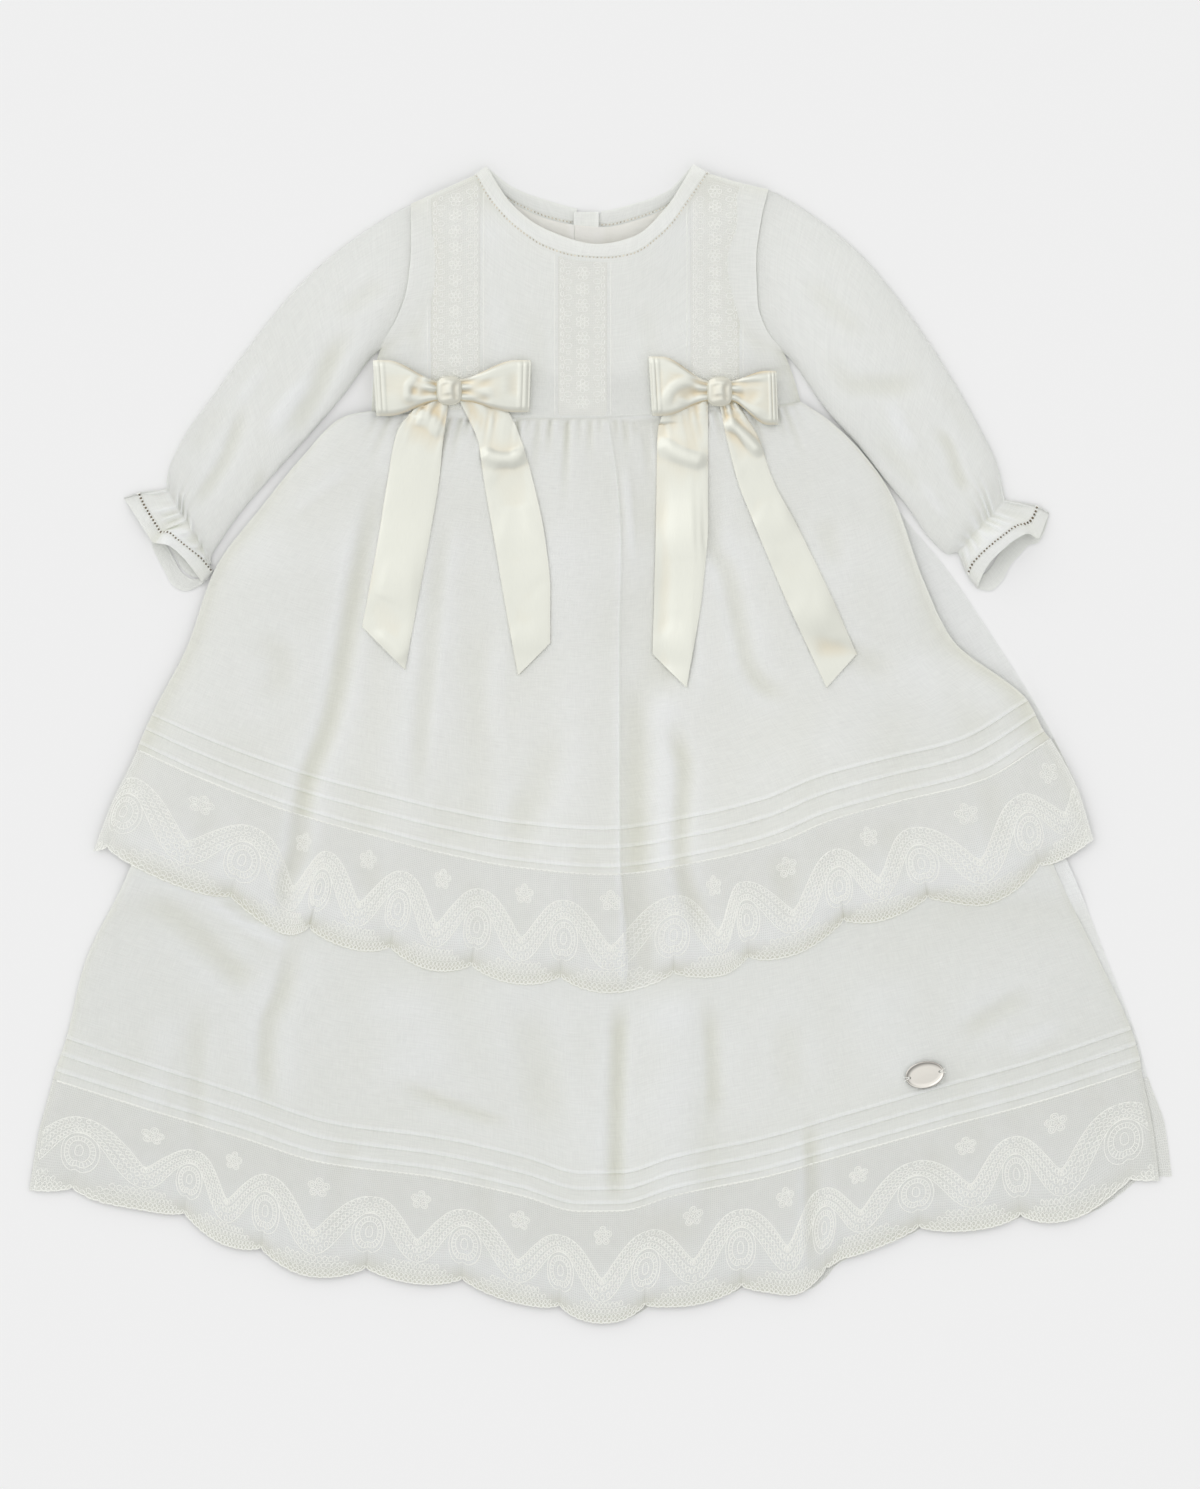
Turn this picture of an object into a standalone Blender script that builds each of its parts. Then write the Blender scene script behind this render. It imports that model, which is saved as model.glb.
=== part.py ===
"""Christening gown, lying flat with its front up.

A long-sleeved bodice with a scooped neck, three strips of lace let into its front and a two-tier
skirt. Each tier is gathered in at the waist, crossed by three pintucks and edged with a scalloped
lace. Two satin bows sit on the waist seam, and a small oval plate is sewn near the hem.

Every piece of cloth is a thin wall. The back panels lie flat on the surface, and the front panels
lie on them, rising a little towards the middle. Sizes are in millimetres, as MM turns them to metres.
X runs across the gown, Y from hem to neck and Z up. The origin is under the middle of the gown.
"""

import math
from collections import namedtuple

import bmesh
import bpy
from mathutils import Vector

MM = 0.001

# Driving dimensions
CLOTH = 1.0  # thickness of a cloth wall
TUCK = 1.1  # how far a pintuck's ridge stands up from the cloth
SEAM = 0.6  # gap between two panels at a seam
LAY = 0.4  # gap between a piece and what it lies on
WAIST_Y = 182.0  # waist seam at the centre front
BINDING = 1.2  # thickness of the folded neck binding
RIBBON = 1.0  # thickness of the satin ribbon
LOOP_HEIGHT = 5.2  # a bow loop from its lower to its upper face
KNOT_HEIGHT = 10.0
BUTTON_RADIUS = 4.2
BUTTON_THICK = 0.9
PLATE_LENGTH, PLATE_WIDTH, PLATE_THICK = 22.0, 15.0, 1.2
PLATE_X, PLATE_Y, PLATE_TILT = 181.0, -185.0, 12.0

Colour = namedtuple("Colour", "red green blue roughness metallic")
FINISHES = {
    "voile": Colour(0.74, 0.76, 0.71, 0.85, 0.0),
    "lace": Colour(0.70, 0.71, 0.66, 0.9, 0.0),
    "satin": Colour(0.80, 0.79, 0.69, 0.35, 0.0),
    "lining": Colour(0.71, 0.70, 0.63, 0.8, 0.0),
    "plate": Colour(0.72, 0.70, 0.65, 0.25, 1.0),
    "button": Colour(0.78, 0.77, 0.72, 0.3, 0.0),
}

# ---------------------------------------------------------------- tables and smooth curves


def smooth(points, at):
    """The value at one place on the smooth curve through (place, value) points, with no overshoot."""
    places = [point[0] for point in points]
    values = [point[1] for point in points]
    at = min(max(at, places[0]), places[-1])
    spans = [b - a for a, b in zip(places, places[1:])]
    slopes = [(b - a) / span for a, b, span in zip(values, values[1:], spans)]
    tangents = [slopes[0]]
    for before, after in zip(slopes, slopes[1:]):
        agree = before * after > 0
        tangents.append(2 * before * after / (before + after) if agree else 0.0)
    tangents.append(slopes[-1])
    i = 0
    while i < len(spans) - 1 and at > places[i + 1]:
        i += 1
    t = (at - places[i]) / spans[i]
    rise = (3 - 2 * t) * t * t
    start = t * (1 - t) * (1 - t) * spans[i] * tangents[i]
    end = t * t * (t - 1) * spans[i] * tangents[i + 1]
    return values[i] + (values[i + 1] - values[i]) * rise + start + end


def column(table, place, value, at):
    """Reads one column of a table as a smooth curve over another."""
    return smooth([(getattr(row, place), getattr(row, value)) for row in table], at)


def ease(value, low, high):
    """0 at low, 1 at high, smooth between."""
    t = min(max((value - low) / (high - low), 0.0), 1.0)
    return t * t * (3 - 2 * t)


def mix(a, b, t):
    return a + (b - a) * t


def even(steps):
    return [i / steps for i in range(steps + 1)]


# ---------------------------------------------------------------- making the pieces

gown = bpy.data.collections.new("christening_gown")


def clear_scene():
    for item in list(bpy.data.objects):
        bpy.data.objects.remove(item, do_unlink=True)
    bpy.context.scene.collection.children.link(gown)


def finish(name):
    """The material of one kind of cloth, made once."""
    if name in bpy.data.materials:
        return bpy.data.materials[name]
    colour = FINISHES[name]
    material = bpy.data.materials.new(name)
    material.use_nodes = True
    shader = material.node_tree.nodes["Principled BSDF"]
    shader.inputs["Base Color"].default_value = (colour.red, colour.green, colour.blue, 1)
    shader.inputs["Roughness"].default_value = colour.roughness
    shader.inputs["Metallic"].default_value = colour.metallic
    return material


def add(name, mesh, material):
    thing = bpy.data.objects.new(name, mesh)
    mesh.materials.append(finish(material))
    gown.objects.link(thing)
    return thing


def cloth(name, across, down, place, material, thick=CLOTH, ridge=None, inward=False, rolled=False):
    """A piece of cloth: a grid laid over the surface place(u, v), then thickened.

    place gives the face that the wall grows from, upwards, or inwards for a tube. ridge(v) is how
    much thicker the wall is there. A rolled piece is a tube, whose two long edges are joined.
    """
    mesh = bpy.data.meshes.new(name)
    grid = bmesh.new()
    bmesh.ops.create_grid(
        grid, x_segments=len(across) - 1, y_segments=len(down) - 1, size=0.5
    )
    most = thick + (TUCK if ridge else 0.0)
    walls = {}
    for point in grid.verts:
        i = round((point.co.x + 0.5) * (len(across) - 1))
        j = round((0.5 - point.co.y) * (len(down) - 1))
        walls[point.index] = (thick + (ridge(down[j]) if ridge else 0.0)) / most
        point.co = Vector(place(across[i], down[j])) * MM
    if rolled:
        bmesh.ops.remove_doubles(grid, verts=grid.verts, dist=0.00001)
        bmesh.ops.recalc_face_normals(grid, faces=grid.faces)
    grid.to_mesh(mesh)
    grid.free()
    mesh.shade_smooth()
    thing = add(name, mesh, material)
    wall = thing.modifiers.new("wall", "SOLIDIFY")
    wall.thickness = most * MM
    wall.offset = -1.0 if inward else 1.0
    wall.use_even_offset = not rolled
    if ridge:
        group = thing.vertex_groups.new(name="wall")
        for index, weight in walls.items():
            group.add([index], weight, "REPLACE")
        wall.vertex_group = "wall"
    return thing


def disc_piece(name, radius_x, radius_y, height, place, angle, material, sides):
    """A small flat oval piece lying at place, with its upper edge softened."""
    mesh = bpy.data.meshes.new(name)
    disc = bmesh.new()
    bmesh.ops.create_cone(
        disc, cap_ends=True, segments=sides, radius1=MM, radius2=0.93 * MM, depth=height * MM
    )
    bmesh.ops.scale(disc, vec=(radius_x, radius_y, 1), verts=disc.verts)
    bmesh.ops.translate(disc, vec=(0, 0, height * MM / 2), verts=disc.verts)
    disc.to_mesh(mesh)
    disc.free()
    thing = add(name, mesh, material)
    thing.location = Vector(place) * MM
    thing.rotation_euler.z = angle
    return thing


# ---------------------------------------------------------------- the outline of the two tiers

# station is the distance down the centre front from the waist seam. left and right are the ends of
# the row of cloth that crosses the centre there, and back is the right end of the back's row.
Row = namedtuple("Row", "station left_x left_y right_x right_y back_x back_y")
OVERSKIRT = [
    Row(0, -128, 186, 112, 191, 111, 191),
    Row(16, -143, 183, 126, 182, 125, 182),
    Row(46, -167, 160, 146, 163, 148, 161),
    Row(86, -190, 132, 164, 137, 169, 128),
    Row(130, -216, 97, 180, 93, 195, 96),
    Row(181, -231, 55, 197, 58, 218, 62),
    Row(230, -251, 16, 239, 24, 243, 23),
    Row(251, -258, 0, 248, 7, 252, 7),
    Row(257, -260, -5, 253, 1, 255, 1),
    Row(287, -272, -32, 267, -26, 267, -26),
    Row(315, -284, -60, 276, -49, 275, -49),
]
UNDERSKIRT = [
    Row(1, -124, 184, 108, 188, 107, 188),
    Row(46, -150, 146, 132, 148, 132, 148),
    Row(130, -198, 84, 162, 82, 174, 84),
    Row(230, -233, 8, 215, 13, 222, 13),
    Row(287, -252, -42, 240, -34, 246, -34),
    Row(321, -266, -76, 256, -74, 264, -72),
    Row(374, -289, -124, 279, -121, 284, -122),
    Row(423, -299, -165, 297, -160, 301, -167),
    Row(440, -305, -183, 302, -177, 305, -182),
    Row(446, -307, -190, 303, -184, 307, -188),
    Row(478, -315, -222, 309, -216, 316, -216),
    Row(501, -320, -248, 313, -243, 320, -242),
]

# share is how far a row has dropped from the line between its ends towards its lowest point.
Bow = namedtuple("Bow", "across share")
OVERSKIRT_BOW = [
    Bow(0, 0),
    Bow(0.065, 0.21),
    Bow(0.14, 0.42),
    Bow(0.19, 0.54),
    Bow(0.27, 0.70),
    Bow(0.34, 0.83),
    Bow(0.42, 0.94),
    Bow(0.52, 1.0),
    Bow(0.63, 0.89),
    Bow(0.70, 0.77),
    Bow(0.76, 0.60),
    Bow(0.83, 0.47),
    Bow(0.92, 0.32),
    Bow(1, 0),
]
UNDERSKIRT_BOW = [
    Bow(0, 0),
    Bow(0.08, 0.20),
    Bow(0.17, 0.42),
    Bow(0.25, 0.62),
    Bow(0.35, 0.73),
    Bow(0.43, 0.87),
    Bow(0.485, 0.99),
    Bow(0.52, 0.99),
    Bow(0.57, 0.88),
    Bow(0.65, 0.76),
    Bow(0.74, 0.57),
    Bow(0.82, 0.40),
    Bow(0.90, 0.24),
    Bow(1, 0),
]

OVER_TUCKS = (230.0, 240.5, 251.0)  # stations of the pintucks' ridges
UNDER_TUCKS = (423.0, 432.0, 440.0)
OVER_LACE_TOP, OVER_LACE_END = 257.0, 315.0
UNDER_LACE_TOP, UNDER_LACE_END = 446.0, 500.7
OVER_SCALLOPS, UNDER_SCALLOPS = 11, 13
SCALLOP_DROP = 6.5  # from a notch of the lace's edge to the tip of a scallop
BACK_INSET = 1.5  # the backs' left edges lie this far inside the fronts'
BACK_STEP = 6.0  # how far past the overskirt's lace the underskirt's back starts to step down


def on_row(table, bow, u, station, back=False):
    """X and Y of a point of a skirt: u runs from its left edge, 0, to its right edge, 1."""
    inset = BACK_INSET if back else 0.0
    left_x = column(table, "station", "left_x", station) + inset
    left_y = column(table, "station", "left_y", station)
    right_x = column(table, "station", "back_x" if back else "right_x", station)
    right_y = column(table, "station", "back_y" if back else "right_y", station)
    middle = WAIST_Y - station
    drop = (left_y + right_y) / 2 - middle
    share = column(bow, "across", "share", u)
    return mix(left_x, right_x, u), mix(left_y, right_y, u) - drop * share


def scalloped(table, bow, top, end, count, back=False):
    """The place of a point on a lace edge: its lower rows drop into scallops."""

    def at(u, station):
        x, y = on_row(table, bow, u, station, back)
        lobe = abs(math.sin(math.pi * u * count)) ** 0.7
        return x, y - SCALLOP_DROP * lobe * ease(station, mix(top, end, 0.5), end)

    return at


# ---------------------------------------------------------------- how high the cloth lies


def edges(table, y):
    """Left and right X of a tier at one height, from the ends of its rows."""
    left = sorted((row.left_y, row.left_x) for row in table)
    right = sorted((row.right_y, row.right_x) for row in table)
    return smooth(left, y), smooth(right, y)


def dome(table, x, y, sharp):
    """0 at a tier's side edges, 1 over most of its width."""
    left, right = edges(table, y)
    s = min(max((x - left) / (right - left), 0.0), 1.0)
    return 1 - abs(2 * s - 1) ** sharp


# A soft fold of the cloth: a ridge, or a trough where height is negative, between two points, with
# half its width on either side. It fades in over its first part and out over its last.
Fold = namedtuple("Fold", "x1 y1 x2 y2 half_width height fade")
OVER_FOLDS = [
    Fold(-121, 150, -143, 69, 15, -2.6, 0.25),
    Fold(-143, 80, -177, -110, 17, -2.8, 0.25),
    Fold(-95, 150, -114, -120, 26, 2.4, 0.3),
    Fold(-66, 120, -70, -90, 16, -1.6, 0.4),
    Fold(-20, 172, -18, -130, 30, 2.6, 0.15),
    Fold(33, 178, 33, -150, 21, -4.6, 0.15),
    Fold(31, 60, 34, -150, 13, 2.2, 0.35),
    Fold(62, 138, 92, 24, 17, -2.0, 0.35),
    Fold(118, 130, 150, -60, 30, 1.6, 0.3),
    Fold(172, 96, 224, -20, 18, -1.4, 0.3),
]
UNDER_FOLDS = [
    Fold(-188, -118, -192, -186, 20, -1.8, 0.35),
    Fold(-250, -96, -160, -116, 13, 2.4, 0.35),
    Fold(-112, -126, -100, -210, 30, 1.8, 0.35),
    Fold(-60, -140, -52, -215, 20, -1.4, 0.35),
    Fold(5, -142, 5, -262, 16, -3.0, 0.25),
    Fold(36, -144, 38, -262, 20, 2.8, 0.25),
    Fold(78, -136, 84, -232, 17, -1.8, 0.35),
    Fold(150, -112, 172, -210, 34, 1.6, 0.35),
]


def fold_height(folds, x, y):
    total = 0.0
    for fold in folds:
        dx, dy = fold.x2 - fold.x1, fold.y2 - fold.y1
        length = math.hypot(dx, dy)
        along = ((x - fold.x1) * dx + (y - fold.y1) * dy) / length**2
        aside = ((x - fold.x1) * dy - (y - fold.y1) * dx) / length
        ends = ease(along, 0, fold.fade) * ease(along, 1, 1 - fold.fade * 0.5)
        across = max(0.0, 1 - (aside / fold.half_width) ** 2) ** 2
        total += fold.height * across * ends
    return total


def under_height(x, y):
    """Underside of the underskirt's front. Its folds show only below the overskirt."""
    edge = mix(CLOTH + LAY, 2 * CLOTH + 2 * LAY, ease(y, -96, -76))
    puff = mix(1.0, 2.6, ease(y, 170, 110)) + 3.0 * ease(y, -60, -170)
    return edge + dome(UNDERSKIRT, x, y, 6) * (puff + fold_height(UNDER_FOLDS, x, y))


def over_height(x, y):
    """Underside of the overskirt's front, which clears the underskirt below it."""
    edge = mix(CLOTH + LAY, 3 * CLOTH + 3 * LAY, ease(y, 120, 170))
    puff = mix(3.0, 11.4, ease(y, 184, 96)) - 1.0 * ease(y, -20, -120)
    return edge + dome(OVERSKIRT, x, y, 8) * (puff + fold_height(OVER_FOLDS, x, y))


def over_top(x, y, reach=7.0):
    """The highest that the overskirt reaches near a point, for what lies on it."""
    near = [(x + i * reach, y + j * reach) for i in (-1, 0, 1) for j in (-1, 0, 1)]
    return max(over_height(*spot) for spot in near) + CLOTH


# ---------------------------------------------------------------- skirts

GATHERS = 22  # gathers in the overskirt's waist seam
GATHER_HEIGHT = 1.8
GATHER_LENGTH = 34.0
OVER_COLUMNS, UNDER_COLUMNS = 2 * GATHERS, 3 * UNDER_SCALLOPS
TUCK_FOOT = 3.4  # from a pintuck's ridge to the flat cloth beside it


def tuck_stations(tucks):
    """Rows of points for the pintucks: one on each ridge, and the flat between."""
    stations = [tucks[0] - TUCK_FOOT]
    for before, after in zip(tucks, tucks[1:]):
        stations += [before, (before + after) / 2]
    return stations + [tucks[-1], tucks[-1] + TUCK_FOOT]


def tuck_ridge(tucks):
    return lambda station: TUCK if station in tucks else 0.0


def overskirt_front():
    down = [0.4, 9, 22, 44, 78, 114, 150, 186, 210] + tuck_stations(OVER_TUCKS)
    down.append(OVER_LACE_TOP - SEAM / 2)

    def place(u, station):
        x, y = on_row(OVERSKIRT, OVERSKIRT_BOW, u, station)
        crest = round(u * OVER_COLUMNS) % 2
        gather = GATHER_HEIGHT * crest * (1 - ease(station, 4, GATHER_LENGTH))
        return x, y, over_height(x, y) + gather * ease(min(u, 1 - u), 0, 0.06)

    cloth("overskirt_front", even(OVER_COLUMNS), down, place, "voile", ridge=tuck_ridge(OVER_TUCKS))


def overskirt_lace_front():
    edge = scalloped(OVERSKIRT, OVERSKIRT_BOW, OVER_LACE_TOP, OVER_LACE_END, OVER_SCALLOPS)

    def place(u, station):
        x, y = edge(u, station)
        return x, y, over_height(x, y)

    down = [OVER_LACE_TOP + SEAM / 2, 280, 300, OVER_LACE_END]
    cloth("overskirt_lace_front", even(4 * OVER_SCALLOPS), down, place, "lace")


def underskirt_front():
    down = [1.4, 90, 180, 270, 325, 356, 388, 408] + tuck_stations(UNDER_TUCKS)
    down.append(UNDER_LACE_TOP - SEAM / 2)

    def place(u, station):
        x, y = on_row(UNDERSKIRT, UNDERSKIRT_BOW, u, station)
        return x, y, under_height(x, y)

    cloth("underskirt_front", even(UNDER_COLUMNS), down, place, "voile", ridge=tuck_ridge(UNDER_TUCKS))


def underskirt_lace_front():
    edge = scalloped(UNDERSKIRT, UNDERSKIRT_BOW, UNDER_LACE_TOP, UNDER_LACE_END, UNDER_SCALLOPS)

    def place(u, station):
        x, y = edge(u, station)
        return x, y, under_height(x, y)

    down = [UNDER_LACE_TOP + SEAM / 2, 465, 484, UNDER_LACE_END]
    cloth("underskirt_lace_front", even(UNDER_COLUMNS), down, place, "lace")


def skirt_backs():
    """The backs lie flat. The underskirt's rests on the overskirt's, then on the surface below it."""

    def over(u, station):
        return *on_row(OVERSKIRT, OVERSKIRT_BOW, u, station, back=True), 0.0

    lace = scalloped(OVERSKIRT, OVERSKIRT_BOW, OVER_LACE_TOP, OVER_LACE_END, OVER_SCALLOPS, back=True)

    def over_lace(u, station):
        return *lace(u, station), 0.0

    lap = CLOTH + LAY
    lap_end = OVER_LACE_END + SCALLOP_DROP + BACK_STEP
    hem = scalloped(
        UNDERSKIRT, UNDERSKIRT_BOW, UNDER_LACE_TOP, UNDER_LACE_END, UNDER_SCALLOPS, back=True
    )

    def under(u, station):
        x, y = hem(u, station)
        return x, y, lap * (1 - ease(station, lap_end, lap_end + 20))

    columns = even(OVER_COLUMNS // 2)
    cloth("overskirt_back", columns, [0.4, 46, 130, 200, OVER_LACE_TOP - SEAM / 2], over, "voile")
    lace_down = [OVER_LACE_TOP + SEAM / 2, OVER_LACE_END]
    cloth("overskirt_lace_back", even(4 * OVER_SCALLOPS), lace_down, over_lace, "lace")
    under_down = [1.4, 130, 240, lap_end, lap_end + 20, UNDER_LACE_TOP - SEAM / 2]
    cloth("underskirt_back", even(UNDER_COLUMNS), under_down, under, "voile")
    hem_down = [UNDER_LACE_TOP + SEAM / 2, UNDER_LACE_END]
    cloth("underskirt_lace_back", even(UNDER_COLUMNS), hem_down, under, "lace")


# ---------------------------------------------------------------- bodice

# The bodice's sides, from the shoulder's end down the armhole and the side seam to the waist.
# turn runs from 0 at the shoulder to 1 at the underarm, and on to 2 at the waist.
Side = namedtuple("Side", "turn left_x left_y right_x right_y")
SIDES = [
    Side(0, -106, 302, 94, 310),
    Side(0.2, -106, 279, 90, 294),
    Side(0.45, -108, 256, 87, 270),
    Side(0.7, -113, 240, 88, 246),
    Side(0.85, -118, 231, 93, 231),
    Side(1, -123, 222, 102, 220),
    Side(1.5, -127, 205, 108, 205),
    Side(2, -128, 186, 112, 191),
]
# The edge of the bodice along the shoulders and round the neck, where the neck binding is joined.
Edge = namedtuple("Edge", "x front_y back_y")
NECKLINE = [
    Edge(-106, 302, 302),
    Edge(-88, 310, 310),
    Edge(-70, 318, 318),
    Edge(-61, 303, 311),
    Edge(-47, 288, 302),
    Edge(-28, 276, 294),
    Edge(-13, 272, 291),
    Edge(3, 271, 290),
    Edge(17, 273, 293),
    Edge(36, 286, 300),
    Edge(51, 306, 311),
    Edge(60, 319, 319),
    Edge(77, 314, 314),
    Edge(94, 310, 310),
]
NECK_LEFT, NECK_RIGHT = -70.0, 60.0
STAND_LEFT, STAND_RIGHT = -15.0, -1.0  # the button stand, which bridges the opening in the back
OPENING_LEFT, OPENING_RIGHT = -13.4, -2.6


def neck_y(x, back=False):
    """The bodice's top edge: straight shoulders, and a round neck between them."""
    value = "back_y" if back else "front_y"
    if x <= NECK_LEFT:
        part = NECKLINE[:3]
    elif x >= NECK_RIGHT:
        part = NECKLINE[-3:]
    else:
        part = NECKLINE[2:-2]
    return column(part, "x", value, x)


def waist_y(x):
    """The waist seam, between the first row's two ends."""
    u = (x - OVERSKIRT[0].left_x) / (OVERSKIRT[0].right_x - OVERSKIRT[0].left_x)
    return on_row(OVERSKIRT, OVERSKIRT_BOW, min(max(u, 0.0), 1.0), 0)[1]


def bodice_height(x, y):
    """Underside of the bodice's front: close to the back at its edges and at the shoulders."""
    left = smooth(sorted((row.left_y, row.left_x) for row in SIDES), y)
    right = smooth(sorted((row.right_y, row.right_x) for row in SIDES), y)
    s = min(max((x - left) / (right - left), 0.0), 1.0)
    climb = mix(0.3, 1.0, ease(y, 318, 284))
    return CLOTH + LAY + (1 - abs(2 * s - 1) ** 6) * climb * 5.0


def bodice_point(x_top, side, turn, back=False):
    """A point of the bodice under one place of its top edge.

    side is 0 at the left and 1 at the right. turn follows the sides' table, and the columns
    bend out with them.
    """
    left = column(SIDES, "turn", "left_x", turn) - SIDES[0].left_x
    right = column(SIDES, "turn", "right_x", turn) - SIDES[0].right_x
    top = neck_y(x_top, back)
    bottom = waist_y(mix(SIDES[-1].left_x, SIDES[-1].right_x, side)) + SEAM
    left_share = (SIDES[0].left_y - column(SIDES, "turn", "left_y", turn)) / (
        SIDES[0].left_y - SIDES[-1].left_y
    )
    right_share = (SIDES[0].right_y - column(SIDES, "turn", "right_y", turn)) / (
        SIDES[0].right_y - SIDES[-1].right_y
    )
    share = mix(left_share, right_share, side)
    return x_top + mix(left, right, side), mix(top, bottom, share)


BODICE_LEFT, BODICE_RIGHT = SIDES[0].left_x, SIDES[0].right_x
NECK_COLUMNS = [mix(NECK_LEFT, NECK_RIGHT, t) for t in even(13)]
LEFT_COLUMNS = [BODICE_LEFT, -94, -82]
RIGHT_COLUMNS = [71, 82, BODICE_RIGHT]
BODICE_ROWS = [0, 0.2, 0.45, 0.7, 0.85, 1, 1.3, 1.6, 2]


def back_neck_columns(side):
    """The neck's columns on one side of the opening, up to its edge."""
    if side == "left":
        return [x for x in NECK_COLUMNS if x < OPENING_LEFT - 2] + [OPENING_LEFT]
    return [OPENING_RIGHT] + [x for x in NECK_COLUMNS if x > OPENING_RIGHT + 2]


def bodice():
    def front(x_top, turn):
        side = (x_top - BODICE_LEFT) / (BODICE_RIGHT - BODICE_LEFT)
        x, y = bodice_point(x_top, side, turn)
        return x, y, bodice_height(x, y)

    columns = LEFT_COLUMNS + NECK_COLUMNS + RIGHT_COLUMNS
    cloth("bodice_front", columns, BODICE_ROWS, front, "voile")

    def back(inner, outer, side_x):
        """A back: its inner edge is straight, along the opening, and its outer one the side's."""

        def place(x_top, turn):
            side = (x_top - BODICE_LEFT) / (BODICE_RIGHT - BODICE_LEFT)
            y = bodice_point(x_top, side, turn, back=True)[1]
            share = (x_top - inner) / (outer - inner)
            return mix(inner, column(SIDES, "turn", side_x, turn), share), y, 0.0

        return place

    left = LEFT_COLUMNS[:2] + back_neck_columns("left")
    right = back_neck_columns("right") + RIGHT_COLUMNS[1:]
    rows = [0, 0.2, 0.45, 0.7, 0.85, 1, 1.5, 2]
    left_back = back(OPENING_LEFT, BODICE_LEFT, "left_x")
    right_back = back(OPENING_RIGHT, BODICE_RIGHT, "right_x")
    cloth("bodice_back_left", left, rows, left_back, "voile")
    cloth("bodice_back_right", right, rows, right_back, "voile")


def strip(name, left, right, top, bottom, columns, rows, height, material, thick=CLOTH):
    """A straight strip that lies on another piece. top and bottom give Y for an X."""

    def place(u, v):
        x = mix(left, right, u)
        y = mix(top(x), bottom(x), v)
        return x, y, height(x, y)

    return cloth(name, even(columns), even(rows), place, material, thick)


# Strips of lace: their side edges, and where their lower ends stop, at the waist or at a bow.
Strip = namedtuple("Strip", "name left right bottom")
LACE_LAY = 0.6  # gap between a strip and the bodice below it
LACE_STRIPS = [
    Strip("lace_strip_left", -95, -67, 186.0),
    Strip("lace_strip_centre", -24, 4, 184.5),
    Strip("lace_strip_right", 50, 78, 188.0),
]


def lace_strips():
    def height(x, y):
        return bodice_height(x, y) + CLOTH + LACE_LAY

    for lace in LACE_STRIPS:
        strip(
            lace.name,
            lace.left,
            lace.right,
            lambda x: neck_y(x) - 2.0,
            lambda x, lace=lace: lace.bottom,
            4,
            8,
            height,
            "lace",
        )


def inside_back():
    """What shows inside the neck: the lining on the backs, and the button stand between them."""
    lap = CLOTH + LAY

    def flat(x, y):
        return lap

    def below_neck(x):
        return neck_y(x, back=True) - 1.0

    strip("lining_back_left", -48, STAND_LEFT - SEAM, below_neck, lambda x: 252, 4, 3, flat, "lining")
    strip("lining_back_right", STAND_RIGHT + SEAM, 44, below_neck, lambda x: 252, 5, 3, flat, "lining")
    stand_top = neck_y((STAND_LEFT + STAND_RIGHT) / 2, back=True) + 7.0
    strip(
        "button_stand",
        STAND_LEFT,
        STAND_RIGHT,
        lambda x: stand_top,
        lambda x: 190,
        2,
        8,
        flat,
        "voile",
    )
    middle = (OPENING_LEFT + OPENING_RIGHT) / 2
    for i in range(4):
        place = (middle, mix(stand_top - 14, 202, i / 3), 0.0)
        name = f"button_{i + 1}"
        disc_piece(name, BUTTON_RADIUS, BUTTON_RADIUS, BUTTON_THICK, place, 0, "button", 14)


# ---------------------------------------------------------------- neck binding

# The free upper edge of the neck binding, in front and at the back, from left to right.
Binding = namedtuple("Binding", "along front_x front_y back_x back_y")
BINDING_TOP = [
    Binding(0, -64, 323, -64, 323),
    Binding(0.15, -50, 302, -50, 312),
    Binding(0.32, -32, 288, -33, 305),
    Binding(0.5, -2, 279, -2, 298),
    Binding(0.66, 18, 283, 18, 302),
    Binding(0.84, 37, 300, 37, 309),
    Binding(1, 52, 324, 52, 324),
]


def neck_binding():
    def band(lower_x, v, back):
        """A point of the binding, between its free edge and the bodice's edge."""
        t = (lower_x - NECK_LEFT) / (NECK_RIGHT - NECK_LEFT)
        value = "back" if back else "front"
        upper_x = column(BINDING_TOP, "along", f"{value}_x", t)
        upper_y = column(BINDING_TOP, "along", f"{value}_y", t)
        return mix(upper_x, lower_x, v), mix(upper_y, neck_y(lower_x, back) + SEAM, v)

    def front(lower_x, v):
        x, y = band(lower_x, v, False)
        return x, y, bodice_height(x, y) + 0.3

    def back(lower_x, v):
        return *band(lower_x, v, True), 0.0

    cloth("neck_binding_front", NECK_COLUMNS, even(1), front, "voile", BINDING)
    for side in ("left", "right"):
        name = f"neck_binding_back_{side}"
        cloth(name, back_neck_columns(side), even(1), back, "voile", BINDING)


# ---------------------------------------------------------------- sleeves and cuffs

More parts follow.
